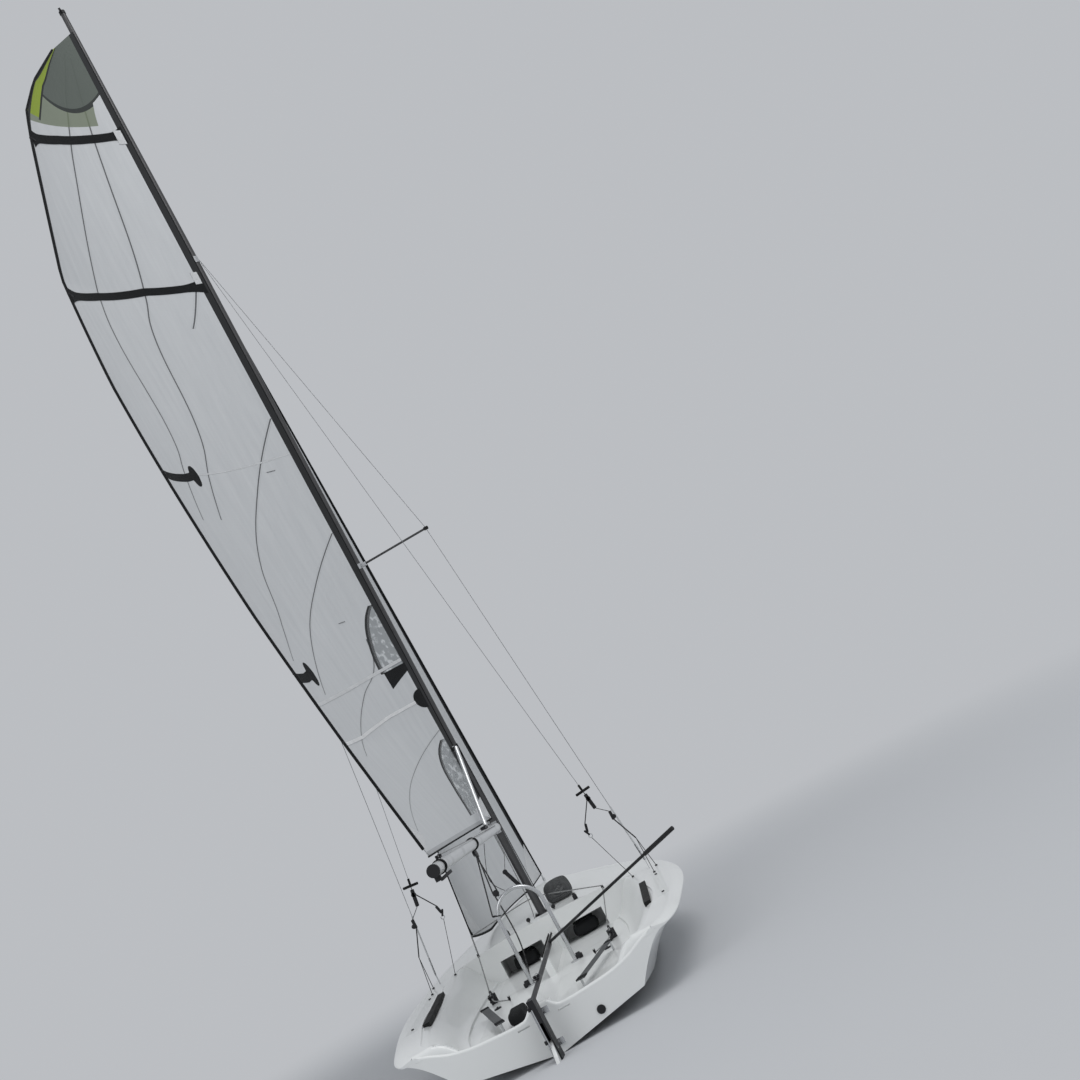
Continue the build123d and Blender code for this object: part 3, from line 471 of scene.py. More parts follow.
finishes = {
    "gelcoat": gelcoat("hull gelcoat", False),
    "deck": gelcoat("deck gelcoat", True),
    # Painted shade: the spar alloy's near-black base colour stands in for the shade on the mast; the alloy itself is
    # grey
    "spar_alloy": metal("spar alloy", (0.105, 0.104, 0.106), 0.42, (1, 1, 0.05)),
    "boom_alloy": metal("boom alloy", (0.72, 0.73, 0.735), 0.32, (0.05, 1, 1)),
    "stainless": metal("stainless steel", (0.58, 0.59, 0.6), 0.16, (1, 1, 1)),
    "wire": stranded("stranded wire"),
    "black_plastic": moulded("black plastic", (0.014, 0.014, 0.016), 0.48, 400),
    "black_rubber": moulded("black rubber", (0.01, 0.01, 0.01), 0.8, 900),
    "sail_tape": woven("sail tape", tape_black, 0.0022),
    "webbing": woven("strap webbing", (0.14, 0.145, 0.15), 0.003),
    "bag_cloth": woven("bag cloth", (0.016, 0.017, 0.018), 0.0035),
    "foil_white": moulded("white foil laminate", (0.7, 0.71, 0.71), 0.3, 120),
    "tiller_black": moulded("tiller tube", (0.012, 0.012, 0.013), 0.4, 500),
    "grey_line": braided("grey control line", (0.2, 0.205, 0.21), (0.5, 0.5, 0.49), 0.1),
    "dark_line": braided("dark sheet", (0.022, 0.022, 0.024), (0.2, 0.2, 0.2), 0.35),
    "white_plastic": moulded("pale plastic", (0.52, 0.53, 0.54), 0.42, 300),
    "mesh": netting("mesh cloth"),
    "pocket_white": woven("bright sail tape", (0.97, 0.975, 0.98), 0.003, 0.6),
    "pocket_pale": woven("pale sail tape", (0.84, 0.85, 0.86), 0.003, 0.6),
}
finishes["main_cloth"] = mainsail_finish()
finishes["jib_cloth"] = jib_finish()

# The frame's own pieces, smoothed across their fine facets
crease = math.radians(28)
for row in frame["record"]["subparts"]:
    shown = frame["nodes"][row["node"]]
    chosen = finishes.get("deck" if row["node"] == "deck_moulding" else row["material_slot"])
    if chosen is None:
        continue
    shown.data.materials.clear()
    shown.data.materials.append(chosen)
    weld = shown.modifiers.new("weld", "WELD")
    weld.merge_threshold = 0.00002
    split = shown.modifiers.new("creases", "EDGE_SPLIT")
    split.split_angle = crease
    for face in shown.data.polygons:
        face.use_smooth = True


# Ways to make pieces
def deselect():
    bpy.ops.object.select_all(action="DESELECT")


def only(piece):
    """Leave one piece selected and active."""
    deselect()
    piece.select_set(True)
    bpy.context.view_layer.objects.active = piece


def apply_all(piece):
    only(piece)
    for modifier in list(piece.modifiers):
        bpy.ops.object.modifier_apply(modifier=modifier.name)


def dress(piece, name, finish, body):
    """Settle a piece's place into its mesh, and give it its name, finish and body."""
    only(piece)
    bpy.ops.object.transform_apply(location=True, rotation=True, scale=True)
    bpy.ops.object.shade_smooth_by_angle(angle=crease)
    piece.name = name
    piece.data.name = name
    piece.data.materials.clear()
    piece.data.materials.append(finishes[finish])
    if body:
        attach(piece, body)
    return piece


def line(name, points, radius, finish, body="hull", smooth=False):
    """A taut line or bent rod through points."""
    deselect()
    data = bpy.data.curves.new(name, "CURVE")
    data.dimensions = "3D"
    data.bevel_depth = radius
    data.bevel_resolution = 1
    data.use_fill_caps = True
    spline = data.splines.new("NURBS" if smooth else "POLY")
    spline.points.add(len(points) - 1)
    for point, place in zip(spline.points, points):
        point.co = (*place, 1)
    if smooth:
        spline.order_u = 3
        spline.use_endpoint_u = True
        spline.resolution_u = 6
    made = bpy.data.objects.new(name, data)
    bpy.context.scene.collection.objects.link(made)
    only(made)
    bpy.ops.object.convert(target="MESH")
    return dress(bpy.context.object, name, finish, body)


def grid(columns, rows, place, pattern):
    """A sheet whose points and pattern map come from functions of its two shares."""
    deselect()
    bpy.ops.mesh.primitive_grid_add(x_subdivisions=columns, y_subdivisions=rows, size=1, location=(0, 0, 0))
    sheet = bpy.context.object
    shares = [(v.co.x + 0.5, v.co.y + 0.5) for v in sheet.data.vertices]
    for vertex, (across, up) in zip(sheet.data.vertices, shares):
        vertex.co = place(across, up)
    layer = sheet.data.uv_layers.active
    for loop in sheet.data.loops:
        layer.data[loop.index].uv = pattern(*shares[loop.vertex_index])
    return sheet


def thicken(piece, thickness, offset=0.0):
    solid = piece.modifiers.new("thickness", "SOLIDIFY")
    solid.thickness = thickness
    solid.offset = offset
    apply_all(piece)


# The mainsail and what is sewn to it
blend_start = rig(-luff_aft, 0, main_head_h)
blend_end = rig(-luff_aft, 0, main_foot_h)


def swing_with_boom(piece):
    """Settle a piece of the mainsail's place into its mesh."""
    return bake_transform(piece)


def main_place(across, up):
    """Distance aft of the luff and height, at two shares."""
    height = main_foot_h + up * (main_head_h - main_foot_h)
    return across * main_chord(height), height


main_cloth = grid(64, 200, lambda across, up: main_surface(*main_place(across, up)), main_place)
thicken(main_cloth, cloth_thickness)
dress(main_cloth, "mainsail_cloth", "main_cloth", None)
swing_with_boom(main_cloth)
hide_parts("mainsail")


def sewn(name, line_points, half_width, thickness, finish, columns=40):
    """A patch sewn on the mainsail along a line of (aft, height), its half width by a function."""
    lengths = [0.0]
    for (a, b), (c, d) in zip(line_points, line_points[1:]):
        lengths.append(lengths[-1] + math.hypot(c - a, d - b))
    table = [(l / lengths[-1], a, h) for l, (a, h) in zip(lengths, line_points)]

    def place(across, up):
        _, aft, height = between(table, across)
        height = height + (up - 0.5) * 2 * half_width(across)
        height = min(max(height, main_foot_h), main_head_h)
        return main_surface(min(aft, main_chord(height)), height)

    patch = grid(columns, 6, place, lambda across, up: (across * lengths[-1], up * 0.1))
    thicken(patch, thickness)
    dress(patch, name, finish, None)
    return swing_with_boom(patch)


def flared(middle, ends):
    """A half width that grows towards both ends."""
    def width(share):
        near = max(0.0, 1 - min(share, 1 - share) / 0.12)
        return middle + (ends - middle) * near**2
    return width


def hammer(bar, head, length):
    """A half width with a round head at the start."""
    def width(share):
        off = (2 * share - length) / length
        round_head = head * math.sqrt(max(0.0, 1 - off * off))
        return max(round_head, bar if off > 0 else 0.004)
    return width


def even(half_width):
    return lambda share: half_width


main_trim = [
    sewn("batten_pocket_top", [(0.02, 6.575), (0.4, 6.52), (0.75, 6.46), (1.14, 6.37)],
         flared(0.034, 0.075), 0.007, "sail_tape"),
    sewn("batten_pocket_second", [(0.02, 5.24), (0.58, 5.24), (1.16, 5.16), (1.64, 5.06)],
         flared(0.03, 0.062), 0.007, "sail_tape"),
    sewn("leech_patch_third", [(1.18, 3.71), (1.3, 3.7), (1.4, 3.68), (1.98, 3.61)],
         hammer(0.03, 0.082, 0.15), 0.005, "sail_tape", 60),
    sewn("leech_patch_fourth", [(1.36, 2.15), (1.5, 2.13), (1.62, 2.11), (2.14, 2.08)],
         hammer(0.034, 0.09, 0.18), 0.005, "sail_tape", 60),
    sewn("batten_pocket_third", [(0.06, 3.8), (1.18, 3.72)], even(0.005), 0.004, "pocket_pale"),
    sewn("batten_pocket_fourth", [(0.06, 2.08), (1.0, 1.98), (1.96, 1.89), (2.18, 1.87)],
         even(0.011), 0.007, "pocket_pale"),
    sewn("batten_pocket_fifth", [(0.16, 1.75), (0.6, 1.72), (1.27, 1.64), (1.99, 1.6), (2.22, 1.59)],
         even(0.011), 0.008, "pocket_white"),
    sewn("luff_patch_fifth", [(0.03, 1.76), (0.16, 1.76)],
         lambda share: 0.075 * math.sqrt(max(0.02, 1 - share * share)), 0.005, "sail_tape", 16),
    sewn("window_patch", [(0.04, 2.02), (0.33, 1.96)], lambda share: 0.03 + 0.035 * share, 0.004, "sail_tape", 16),
    sewn("luff_box_top", [(0.04, 6.55), (0.11, 6.55)], even(0.06), 0.01, "pocket_pale", 10),
    sewn("luff_box_second", [(0.03, 5.31), (0.085, 5.31)], even(0.05), 0.01, "pocket_pale", 10),
    sewn("tack_patch", [(0.0, 0.86), (0.26, 0.86)], lambda share: 0.085 * (1 - 0.8 * share), 0.005, "pocket_pale", 16),
    sewn("clew_patch", [(2.06, 0.9), (2.385, 0.9)], lambda share: 0.02 + 0.09 * share, 0.005, "pocket_pale", 16),
]


def edged(name, points, radius, finish):
    """A line sewn to the mainsail."""
    main_trim.append(swing_with_boom(line(name, points, radius, finish, None)))


leech_heights = [leech_tape_low + (main_head_h - leech_tape_low) * i / 60 for i in range(61)]
leech_points = [main_surface(main_chord(h), h) for h in leech_heights]
edged("leech_tape", leech_points, 0.009, "sail_tape")
foot_points = [main_surface(main_chord(main_foot_h) * i / 30, main_foot_h) for i in range(31)]
edged("foot_rope", foot_points, 0.006, "sail_tape")

# The jib and what is sewn to it
jib_cloth = grid(40, 120, jib_surface, lambda across, up: (across, up))
thicken(jib_cloth, cloth_thickness)
dress(jib_cloth, "jib_cloth", "jib_cloth", "hull")
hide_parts("jib")
jib_trim = [
    line("jib_leech_tape", [jib_surface(1.0, i / 40) for i in range(41)], 0.005, "sail_tape"),
    line("jib_foot_tape", [jib_surface(i / 20, 0.0) for i in range(21)], 0.0055, "sail_tape"),
    line("jib_luff_tape", [jib_surface(0.0, i / 40) for i in range(41)], 0.009, "sail_tape"),
]
for number, (aft, height) in enumerate(((0.27, 3.7), (0.42, 2.47))):
    points = [main_surface(aft + 0.045 * i, height - 0.002 * i) + at(0, -0.004, 0) for i in range(3)]
    edged(f"telltale_{number}", points, 0.0016, "dark_line")
for number, height in enumerate((6.36, 5.06, 3.61, 2.09, 1.59)):
    end = main_surface(main_chord(height), height)
    inner = main_surface(main_chord(height) - 0.06, height)
    edged(f"batten_end_{number}", [inner, end + (end - inner) * 0.15], 0.009, "black_plastic")


def jib_patch(name, aft_range, up_range, thickness, finish):
    """A patch sewn on the jib, between shares of its chord and luff."""
    def place(across, up):
        aft = aft_range[0] + (aft_range[1] - aft_range[0]) * across
        rise = up_range[0] + (up_range[1] - up_range[0]) * up * (across if aft_range[0] > 0 else 1 - across)
        return jib_surface(aft, rise)

    patch = grid(16, 12, place, lambda across, up: (across * 0.3, up * 0.3))
    thicken(patch, thickness)
    return dress(patch, name, finish, "hull")


jib_trim += [
    jib_patch("jib_clew_patch", (0.84, 1.0), (0.006, 0.075), 0.004, "pocket_pale"),
    jib_patch("jib_clew_board", (0.97, 1.0), (0.0, 0.016), 0.007, "sail_tape"),
    jib_patch("jib_tack_patch", (0.0, 0.14), (0.0, 0.06), 0.004, "pocket_pale"),
]


# Ways to make small fittings
def placed(part, centre, along):
    """Lay a part made along z on a direction, at a centre."""
    part.rotation_mode = "QUATERNION"
    part.rotation_quaternion = Vector(along).to_track_quat("Z", "Y")
    part.location = centre
    return part


def rounded(part, rounding):
    bevel = part.modifiers.new("rounding", "BEVEL")
    bevel.width = rounding
    bevel.segments = 2
    bevel.limit_method = "ANGLE"
    apply_all(part)
    return part


def drum(centre, along, radius, length, rounding=0.0015):
    """A round part, its length along a direction."""
    deselect()
    bpy.ops.mesh.primitive_cylinder_add(vertices=24, radius=radius, depth=length, location=(0, 0, 0))
    return placed(rounded(bpy.context.object, rounding), centre, along)


def brick(centre, along, size, rounding=0.002):
    """A block by its width, its height and its length along a direction."""
    deselect()
    bpy.ops.mesh.primitive_cube_add(size=1, location=(0, 0, 0))
    part = bpy.context.object
    part.scale = size
    bpy.ops.object.transform_apply(location=False, rotation=False, scale=True)
    return placed(rounded(part, rounding), centre, along)


def ring(centre, along, radius, wire_radius):
    """A round ring across a direction."""
    deselect()
    bpy.ops.mesh.primitive_torus_add(
        major_radius=radius, minor_radius=wire_radius, major_segments=24, minor_segments=8, location=(0, 0, 0))
    return placed(bpy.context.object, centre, along)


def joined(name, parts, finish="black_plastic", body="hull"):
    """One piece made of several parts."""
    deselect()
    for part in parts:
        part.select_set(True)
    bpy.context.view_layer.objects.active = parts[0]
    if len(parts) > 1:
        bpy.ops.object.join()
    return dress(bpy.context.object, name, finish, body)


def pulley(name, centre, axle, hang, radius, body="hull"):
    """A pulley block: its cheeks, sheave and shackle."""
    axle = Vector(axle).normalized()
    hang = Vector(hang).normalized()
    parts = [drum(centre + axle * (side * 0.4 * radius), axle, radius, 0.18 * radius, 0.0008) for side in (-1, 1)]
    parts.append(drum(centre, axle, 0.7 * radius, 0.6 * radius, 0.0008))
    parts.append(brick(centre + hang * (0.95 * radius), hang, (0.9 * radius, 0.5 * radius, 0.6 * radius), 0.001))
    joined(name, parts, body=body)
    shackle = ring(centre + hang * (1.5 * radius), axle, 0.36 * radius, 0.1 * radius)
    joined(name + "_shackle", [shackle], "stainless", body)


def cam_cleat(name, centre, along, body="hull"):
    """A cam cleat: its base, its two jaws and its fairlead."""
    along = Vector(along).normalized()
    across = at(0, 0, 1).cross(along).normalized()
    up = along.cross(across)
    jaws = [drum(centre + across * off + up * 0.01, up, 0.009, 0.014, 0.001) for off in (-0.011, 0.011)]
    joined(name, [brick(centre, along, (0.03, 0.008, 0.056)), *jaws], body=body)
    joined(name + "_lead", [ring(centre + along * 0.03 + up * 0.012, along, 0.008, 0.0022)], "stainless", body)


def cloth_bag(name, centre, size, creases, finish="bag_cloth"):
    """A half-full bag, flat below, crowned above and drawn into creases."""
    deselect()
    bpy.ops.mesh.primitive_cube_add(size=2, location=(0, 0, 0))
    bpy.ops.object.mode_set(mode="EDIT")
    bpy.ops.mesh.subdivide(number_cuts=17)
    bpy.ops.object.mode_set(mode="OBJECT")
    piece = bpy.context.object
    length, width, height = size
    for vertex in piece.data.vertices:
        x, y, z = vertex.co
        pull = (abs(x) ** 4 + abs(y) ** 4 + abs(z) ** 4) ** 0.25
        turn = math.atan2(y, x)
        crown = max(z, 0.0)
        drawn = 1 - 0.1 * crown + 0.025 * math.sin(creases * turn + 2 * x) * (0.4 + crown)
        sag = 0.06 * math.sin(3.1 * x + 1.7) * math.cos(2.3 * y) * crown
        wide = drawn * 0.47 / pull
        vertex.co = centre + at(x * wide * length, y * wide * width, (z / pull * 0.92 + sag) * height * 0.5)
    smooth = piece.modifiers.new("smooth", "SUBSURF")
    smooth.levels = 1
    smooth.render_levels = 1
    apply_all(piece)
    dress(piece, name, finish, "hull")
    return piece


# Mainsheet, from the hoop to the boom and back, and its cleat
hoop_low, hoop_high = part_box("mainsheet_hoop")
hoop_tube = (hoop_high.x - hoop_low.x) / 2
hoop_half = hoop_high.y - hoop_tube
hoop_x = hoop_low.x + hoop_tube


def on_hoop(angle, off=0.0):
    """A place on the hoop's arc at an angle to port of its top, and the way outwards."""
    turn = math.radians(angle)
    outward = at(0, math.sin(turn), math.cos(turn))
    spring = at(hoop_x, 0, hoop_high.z - hoop_tube - hoop_half)
    return spring + outward * (hoop_half + off), outward


block_low, block_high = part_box("boom_sheet_block")
boom_block = (block_low + block_high) / 2
sheet_radius = 0.0045
hoop_block, hoop_outward = on_hoop(28, 0.046)
becket, becket_outward = on_hoop(72, 0.026)
pulley("hoop_block", hoop_block, (1, 0, 0), -hoop_outward, 0.021)
joined("sheet_becket", [ring(on_hoop(72)[0], (0, 0.3, -0.95), 0.017, 0.0035),
    brick(becket, becket_outward, (0.016, 0.012, 0.022))])
boom_strop = [ring(boom_point(1.115 + 0.012 * i), boom_point(0) - boom_point(1), 0.0395, 0.0045) for i in range(3)]
joined("boom_block_strop", boom_strop, "sail_tape", "boom")
pulley("boom_block_second", boom_block + at(-0.055, 0.004, 0.006), (0, 1, 0), (0, 0, 1), 0.018, "boom")
sheet_parts = [
    (boom_block + at(0.026, 0, -0.006), hoop_block + at(0.006, 0.018, 0.006)),
    (boom_block + at(-0.026, 0, -0.006), becket + becket_outward * 0.01),
    (boom_block + at(-0.055, 0, -0.014), hoop_block + at(-0.006, -0.016, 0.01)),
]
for number, (top, foot) in enumerate(sheet_parts):
    part = line(f"mainsheet_part_{number}", [foot, foot.lerp(top, 0.5), top], sheet_radius, "dark_line", None)
    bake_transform(part)
    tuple(hoop_block)
sheet_cleat = on_deck(hoop_x + 0.055, hoop_half + 0.008, 0.006)
line("mainsheet_tail", [hoop_block + at(0.008, 0.014, -0.01), at(hoop_x + 0.075, 0.105, 0.62),
    at(hoop_x + 0.085, 0.108, 0.44), sheet_cleat + at(0.03, 0, 0.012), sheet_cleat + at(-0.02, 0, 0.011)],
    sheet_radius, "dark_line", smooth=True)
cam_cleat("mainsheet_cleat", sheet_cleat, (1, 0, 0))
strut_line = line("strut_line", [boom_point(0.78, -0.01, -0.04), at(1.86, 0.11, 0.96), at(1.72, 0.112, 0.86),
    on_hoop(12, 0.016)[0]], 0.0022, "dark_line", None, smooth=True)
boom_point(0.78)
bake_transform(strut_line)
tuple(hoop_block)

# Boom fittings
boom_along = boom_point(0) - boom_point(1)
hook_run = boom_point(2.33, -0.046, -0.048) - boom_point(2.46, -0.012, -0.06)
joined("outhaul_hook", [brick(boom_point(2.395, -0.03, -0.056), hook_run, (0.014, 0.018, 0.15)),
    brick(boom_point(2.462, 0.004, -0.04), (0, 0, 1), (0.04, 0.036, 0.05))], body="boom")
joined("clew_strap", [ring(boom_point(2.3 + 0.01 * i), boom_along, 0.0395, 0.0042) for i in range(4)], "sail_tape",
    "boom")
cam_cleat("outhaul_cleat", boom_point(2.27, -0.012, 0.046), boom_along, "boom")
line("outhaul_line", [boom_point(2.24, -0.012, 0.058), boom_point(1.2, -0.03, 0.034), boom_point(0.2, -0.034, 0.02)],
    0.0025, "grey_line", "boom")
line("strut_control", [boom_point(0.45, 0.03, 0.048), boom_point(0.1, 0.016, 0.046)], 0.003, "dark_line", "boom")

# Mast fittings
cunningham_low = at(2.752, 0.04, 0.706)
cunningham_high = at(2.752, 0.092, 0.85)
cleat_run = cunningham_high - cunningham_low
joined("cunningham_cleats", [brick(cunningham_low + cleat_run / 2, cleat_run, (0.034, 0.026, 0.15)),
    drum(cunningham_high, (1, 0, 0), 0.017, 0.04)])
line("cunningham_line", [cunningham_high, rig(0.004, 0.044, 0.5), rig(0.004, 0.044, 0.77),
    rig(-luff_aft + 0.004, 0.01, 0.806)], 0.0028, "grey_line")
joined("cunningham_ring", [ring(rig(-luff_aft - 0.02, 0.004, 0.8), (0, 1, 0), 0.014, 0.003)], "stainless")
spreader_sweep = 0.119
spreader_reach = 0.578
spreader_h = 2.833
mast_run = rig(0, 0, 1) - rig(0, 0, 0)
for name, side in sides:
    bag_middle = at(2.74, side * 0.2375, 0.258)
    line(f"halyard_tail_{name}", [rig(-0.01, side * 0.031, 1.3), rig(-0.01, side * 0.034, 0.3),
        rig(-0.075, side * 0.05, 0.01), at(2.69, side * 0.12, 0.33), bag_middle + at(0, 0, 0.03)], 0.003,
        "grey_line" if side > 0 else "dark_line", smooth=True)
    joined(f"halyard_exit_{name}", [brick(rig(-0.01, side * 0.03, 1.31), mast_run, (0.008, 0.026, 0.1))])
    pulley(f"mast_foot_block_{name}", on_deck(2.7, side * 0.1, 0.02), (1, 0, 0), (0, 0, -1), 0.015)
    bag = cloth_bag(f"halyard_bag_{name}", bag_middle - at(0, 0, 0.004), (0.198, 0.198, 0.104), 9)
    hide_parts("halyard_bags")
    turns = [a * math.tau / 16 for a in range(17)]
    hem = [bag_middle + at(0.074 * math.cos(a), 0.074 * math.sin(a), 0.046) for a in turns]
    line(f"bag_hem_{name}", hem, 0.005, "sail_tape", smooth=True)
    tip = rig(-spreader_sweep, side * spreader_reach, spreader_h)
    joined(f"spreader_tip_{name}", [brick(tip, (0, side, 0), (0.026, 0.024, 0.036), 0.006)], "black_rubber")
    root = rig(-0.006, side * 0.046, spreader_h)
    joined(f"spreader_root_{name}", [brick(root, (0, side, 0), (0.034, 0.026, 0.04), 0.003)], "stainless")

# Shroud adjusters and the stem's
plate_low, plate_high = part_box("chainplates")
for name, side in sides:
    foot = at((plate_low.x + plate_high.x) / 2, side * (plate_high.y - 0.002), plate_high.z)
    tip = rig(-spreader_sweep, side * spreader_reach, spreader_h)
    run = (tip - foot).normalized()
    parts = [brick(foot + run * 0.05 + at(0, off, 0), run, (0.02, 0.002, 0.13), 0.0008) for off in (-0.004, 0.004)]
    parts += [drum(foot + run * (0.006 + 0.03 * i), (0, 1, 0), 0.004, 0.014, 0.0008) for i in range(4)]
    joined(f"shroud_adjuster_{name}", parts, "stainless")
    line(f"shroud_cover_{name}", [foot + run * 0.12, foot + run * 0.42], 0.006, "white_plastic")
stay_run = (stay_top - stem_tack).normalized()
joined("forestay_adjuster", [brick(stem_tack + stay_run * 0.06, stay_run, (0.012, 0.016, 0.1), 0.002),
    drum(stem_tack + stay_run * 0.01, (0, 1, 0), 0.005, 0.022, 0.001)], "stainless")
joined("jib_tack_shackle", [ring(jib_tack - at(0.012, 0, 0.018), (0, 1, 0), 0.012, 0.003)], "stainless")

# Jib sheets, both from the clew to the cockpit's sides
jib_lead = at(hoop_x + 0.1, 0.43, 0.262)
lead_top = at(-0.007, 0, 0.027)
sheet_block = at(2.4, 0.486, 0.456)
clew_eye = jib_clew + at(-0.004, 0.002, 0.004)
pulley("jib_sheet_block", sheet_block, (0, 1, 0), clew_eye - sheet_block, 0.014)
for number, off in enumerate((-0.01, 0.01)):
    line(f"jib_sheet_{number}", [clew_eye + at(0, 0, off / 2), sheet_block + at(0.02, 0, off)], 0.0045, "grey_line")
line("jib_sheet_single", [sheet_block, jib_lead + lead_top], 0.004, "grey_line")
far_block = at(sheet_block.x, -sheet_block.y, sheet_block.z)
pulley("jib_far_block", far_block, (0, 1, 0), at(0.9, 0.4, 0.2), 0.014)
line("jib_sheet_far", [clew_eye, at(2.9, 0.2, 0.585), at(2.935, 0.03, 0.59), at(2.9, -0.075, 0.57),
    far_block + at(0.02, 0, 0.01)], 0.004, "grey_line", smooth=True)
line("jib_sheet_far_single", [far_block, at(jib_lead.x, -jib_lead.y, jib_lead.z) + lead_top], 0.004, "grey_line")
for name, side in sides:
    lead = at(jib_lead.x, side * jib_lead.y, jib_lead.z)
    tail = on_deck(lead.x - 0.3, side * 0.3, 0.01)
    line(f"jib_sheet_tail_{name}", [lead + at(-0.02, 0, 0.012), lead + at(-0.12, 0, -0.024),
        lead + at(-0.2, -side * 0.05, -0.04), tail], 0.0038, "grey_line", smooth=True)
    pulley(f"jib_tail_block_{name}", tail + at(0, 0, 0.012), (0, 1, 0), (0, 0, -1), 0.014)
    joined(f"jib_cleat_jaws_{name}",
        [drum(lead + at(-0.095, off, -0.008), (0, 0, 1), 0.009, 0.02, 0.001) for off in (-0.009, 0.009)])
    lead_block = on_deck(2.655, side * 0.27, 0.016)
    joined(f"deck_lead_{name}", [brick(lead_block, (0, 0, 1), (0.044, 0.03, 0.034), 0.004),
        drum(lead_block + at(-0.002, 0, 0.016), (0, 1, 0), 0.014, 0.022)])
joined("jib_clew_ring", [ring(clew_eye, (0, 1, 0), 0.011, 0.0035)], "stainless")

# Trapeze gear on each side, from the hounds to the side deck
for name, side in sides:
    def beside(x, y, z):
        return at(x, side * y, z)

    handle = beside(2.4, 0.678, 1.091)
    line(f"trapeze_wire_{name}", [rig(0.004, side * 0.034, hounds_h - 0.03), handle], 0.0018, "wire")
    joined(f"trapeze_handle_{name}", [drum(handle, (0, side, 0.1), 0.0095, 0.112, 0.004),
        drum(handle + at(0, -side * 0.004, 0.026), (0, -side * 0.15, 1), 0.008, 0.052, 0.003)], "black_rubber")
    adjuster_top = beside(2.4, 0.682, 1.062)
    adjuster_foot = beside(2.4, 0.698, 0.95)
    run = adjuster_top - adjuster_foot
    joined(f"trapeze_adjuster_{name}", [brick(adjuster_foot + run / 2, run, (0.022, 0.026, 0.12), 0.005),
        drum(adjuster_foot + run * 0.7, (1, 0, 0), 0.017, 0.022)])
    line(f"trapeze_lanyard_{name}", [handle, adjuster_top], 0.003, "dark_line")
    hook_ring = beside(2.4, 0.58, 0.848)
    line(f"trapeze_link_{name}", [adjuster_foot + run * 0.8, hook_ring + at(0, 0, 0.034)], 0.0042, "dark_line")
    joined(f"trapeze_hook_{name}", [
        brick(hook_ring + at(0, 0, 0.01), (0, side * 0.25, 1), (0.022, 0.018, 0.062), 0.006),
        brick(hook_ring + at(0, -side * 0.012, -0.02), (0, -side * 0.5, 1), (0.016, 0.014, 0.05), 0.005)])
    joined(f"trapeze_ring_{name}", [ring(hook_ring - at(0, 0, 0.048), (1, 0, 0), 0.013, 0.003)], "stainless")
    inner_eye = on_deck(2.5, side * 0.7, 0.004)
    line(f"shock_cord_inner_{name}", [hook_ring - at(0, 0, 0.06), inner_eye], 0.002, "dark_line")
    keeper = beside(2.4, 0.775, 0.852)
    joined(f"trapeze_keeper_{name}", [brick(keeper, (0, 0, 1), (0.024, 0.022, 0.066), 0.007),
        drum(keeper + at(0, side * 0.01, -0.014), (1, 0, 0), 0.016, 0.02)])
    line(f"keeper_link_{name}", [adjuster_foot, keeper + at(0, 0, 0.03)], 0.0026, "dark_line")
    knot = beside(2.38, 0.848, 0.64)
    line(f"keeper_cord_{name}", [keeper - at(0, 0, 0.03), knot], 0.0046, "dark_line")
    outer_eyes = [on_deck(2.2, side * 0.85, 0.004), on_deck(2.52, side * 0.88, 0.004)]
    for number, eye in enumerate(outer_eyes):
        line(f"shock_cord_{number}_{name}", [knot, eye], 0.0024, "dark_line")
    joined(f"cord_eyes_{name}", [drum(eye, (0, 0, 1), 0.009, 0.01) for eye in (inner_eye, *outer_eyes)])

# Cockpit fittings
strap_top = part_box("toe_straps")[1].z - 0.002
for name, side in sides:
    aft_end = at(0.198, side * 0.245, strap_top)
    front_end = at(1.152, side * 0.43, strap_top)
    strap_run = (front_end - aft_end).normalized()
    joined(f"strap_ends_{name}", [brick(aft_end + strap_run * 0.045, strap_run, (0.056, 0.01, 0.08), 0.003),
        brick(front_end - strap_run * 0.04, strap_run, (0.056, 0.01, 0.066), 0.003)], "sail_tape")
    hatch = on_deck(1.36, side * 0.385, 0.004)
    joined(f"floor_plug_{name}", [drum(hatch, (0, 0, 1), 0.024, 0.01, 0.003),
        brick(hatch + at(0, 0, 0.007), (1, 0, 0), (0.008, 0.008, 0.036))])
    for number, x in enumerate((1.08, 2.05)):
        eye = on_deck(x, side * 0.853, 0.003)
        joined(f"deck_eye_{number}_{name}", [drum(eye, (0, 0, 1), 0.009, 0.008, 0.002)])
    foot = on_deck(1.69, side * (hoop_half + 0.03), 0.016) - at(0.07, 0, 0)
    joined(f"hoop_foot_block_{name}", [brick(foot, (0, 1, 0), (0.036, 0.03, 0.05), 0.006),
        drum(foot + at(0, 0, 0.012), (0, 1, 0), 0.015, 0.03)])


def corner_panel(name, side):
    """The moulding's rounded corner between the transom's rim and the side deck."""
    def place(across, up):
        y = side * (corner_inner + (corner_outer - corner_inner) * across)
        rim = on_deck(0.017, y)
        deck = on_deck(0.046, y, 0.0012)
        turn = up * math.pi / 2
        low = rim.z - 0.003
        return at(rim.x + (deck.x - rim.x) * (1 - math.cos(turn)), y, low + (deck.z - low) * math.sin(turn))

    panel = grid(24, 10, place, lambda across, up: (across * 0.15, up * 0.06))
    thicken(panel, 0.003, -side)
    return dress(panel, name, "deck", "hull")


corner_inner = 0.484
corner_outer = 0.716
for name, side in sides:
    corner_panel(f"corner_panel_{name}", side)
case_low, case_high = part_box("centreboard_case")
for name, side in sides:
    lip_middle = at((case_low.x + 2.61) / 2, side * 0.011, case_high.z + 0.002)
    lip = brick(lip_middle, (1, 0, 0), (0.006, 0.022, 2.6 - case_low.x), 0.0015)
    joined(f"case_lip_{name}", [lip], "black_rubber")

# Helm fittings
pintle_x = -0.042
helm_angle = math.radians(5)


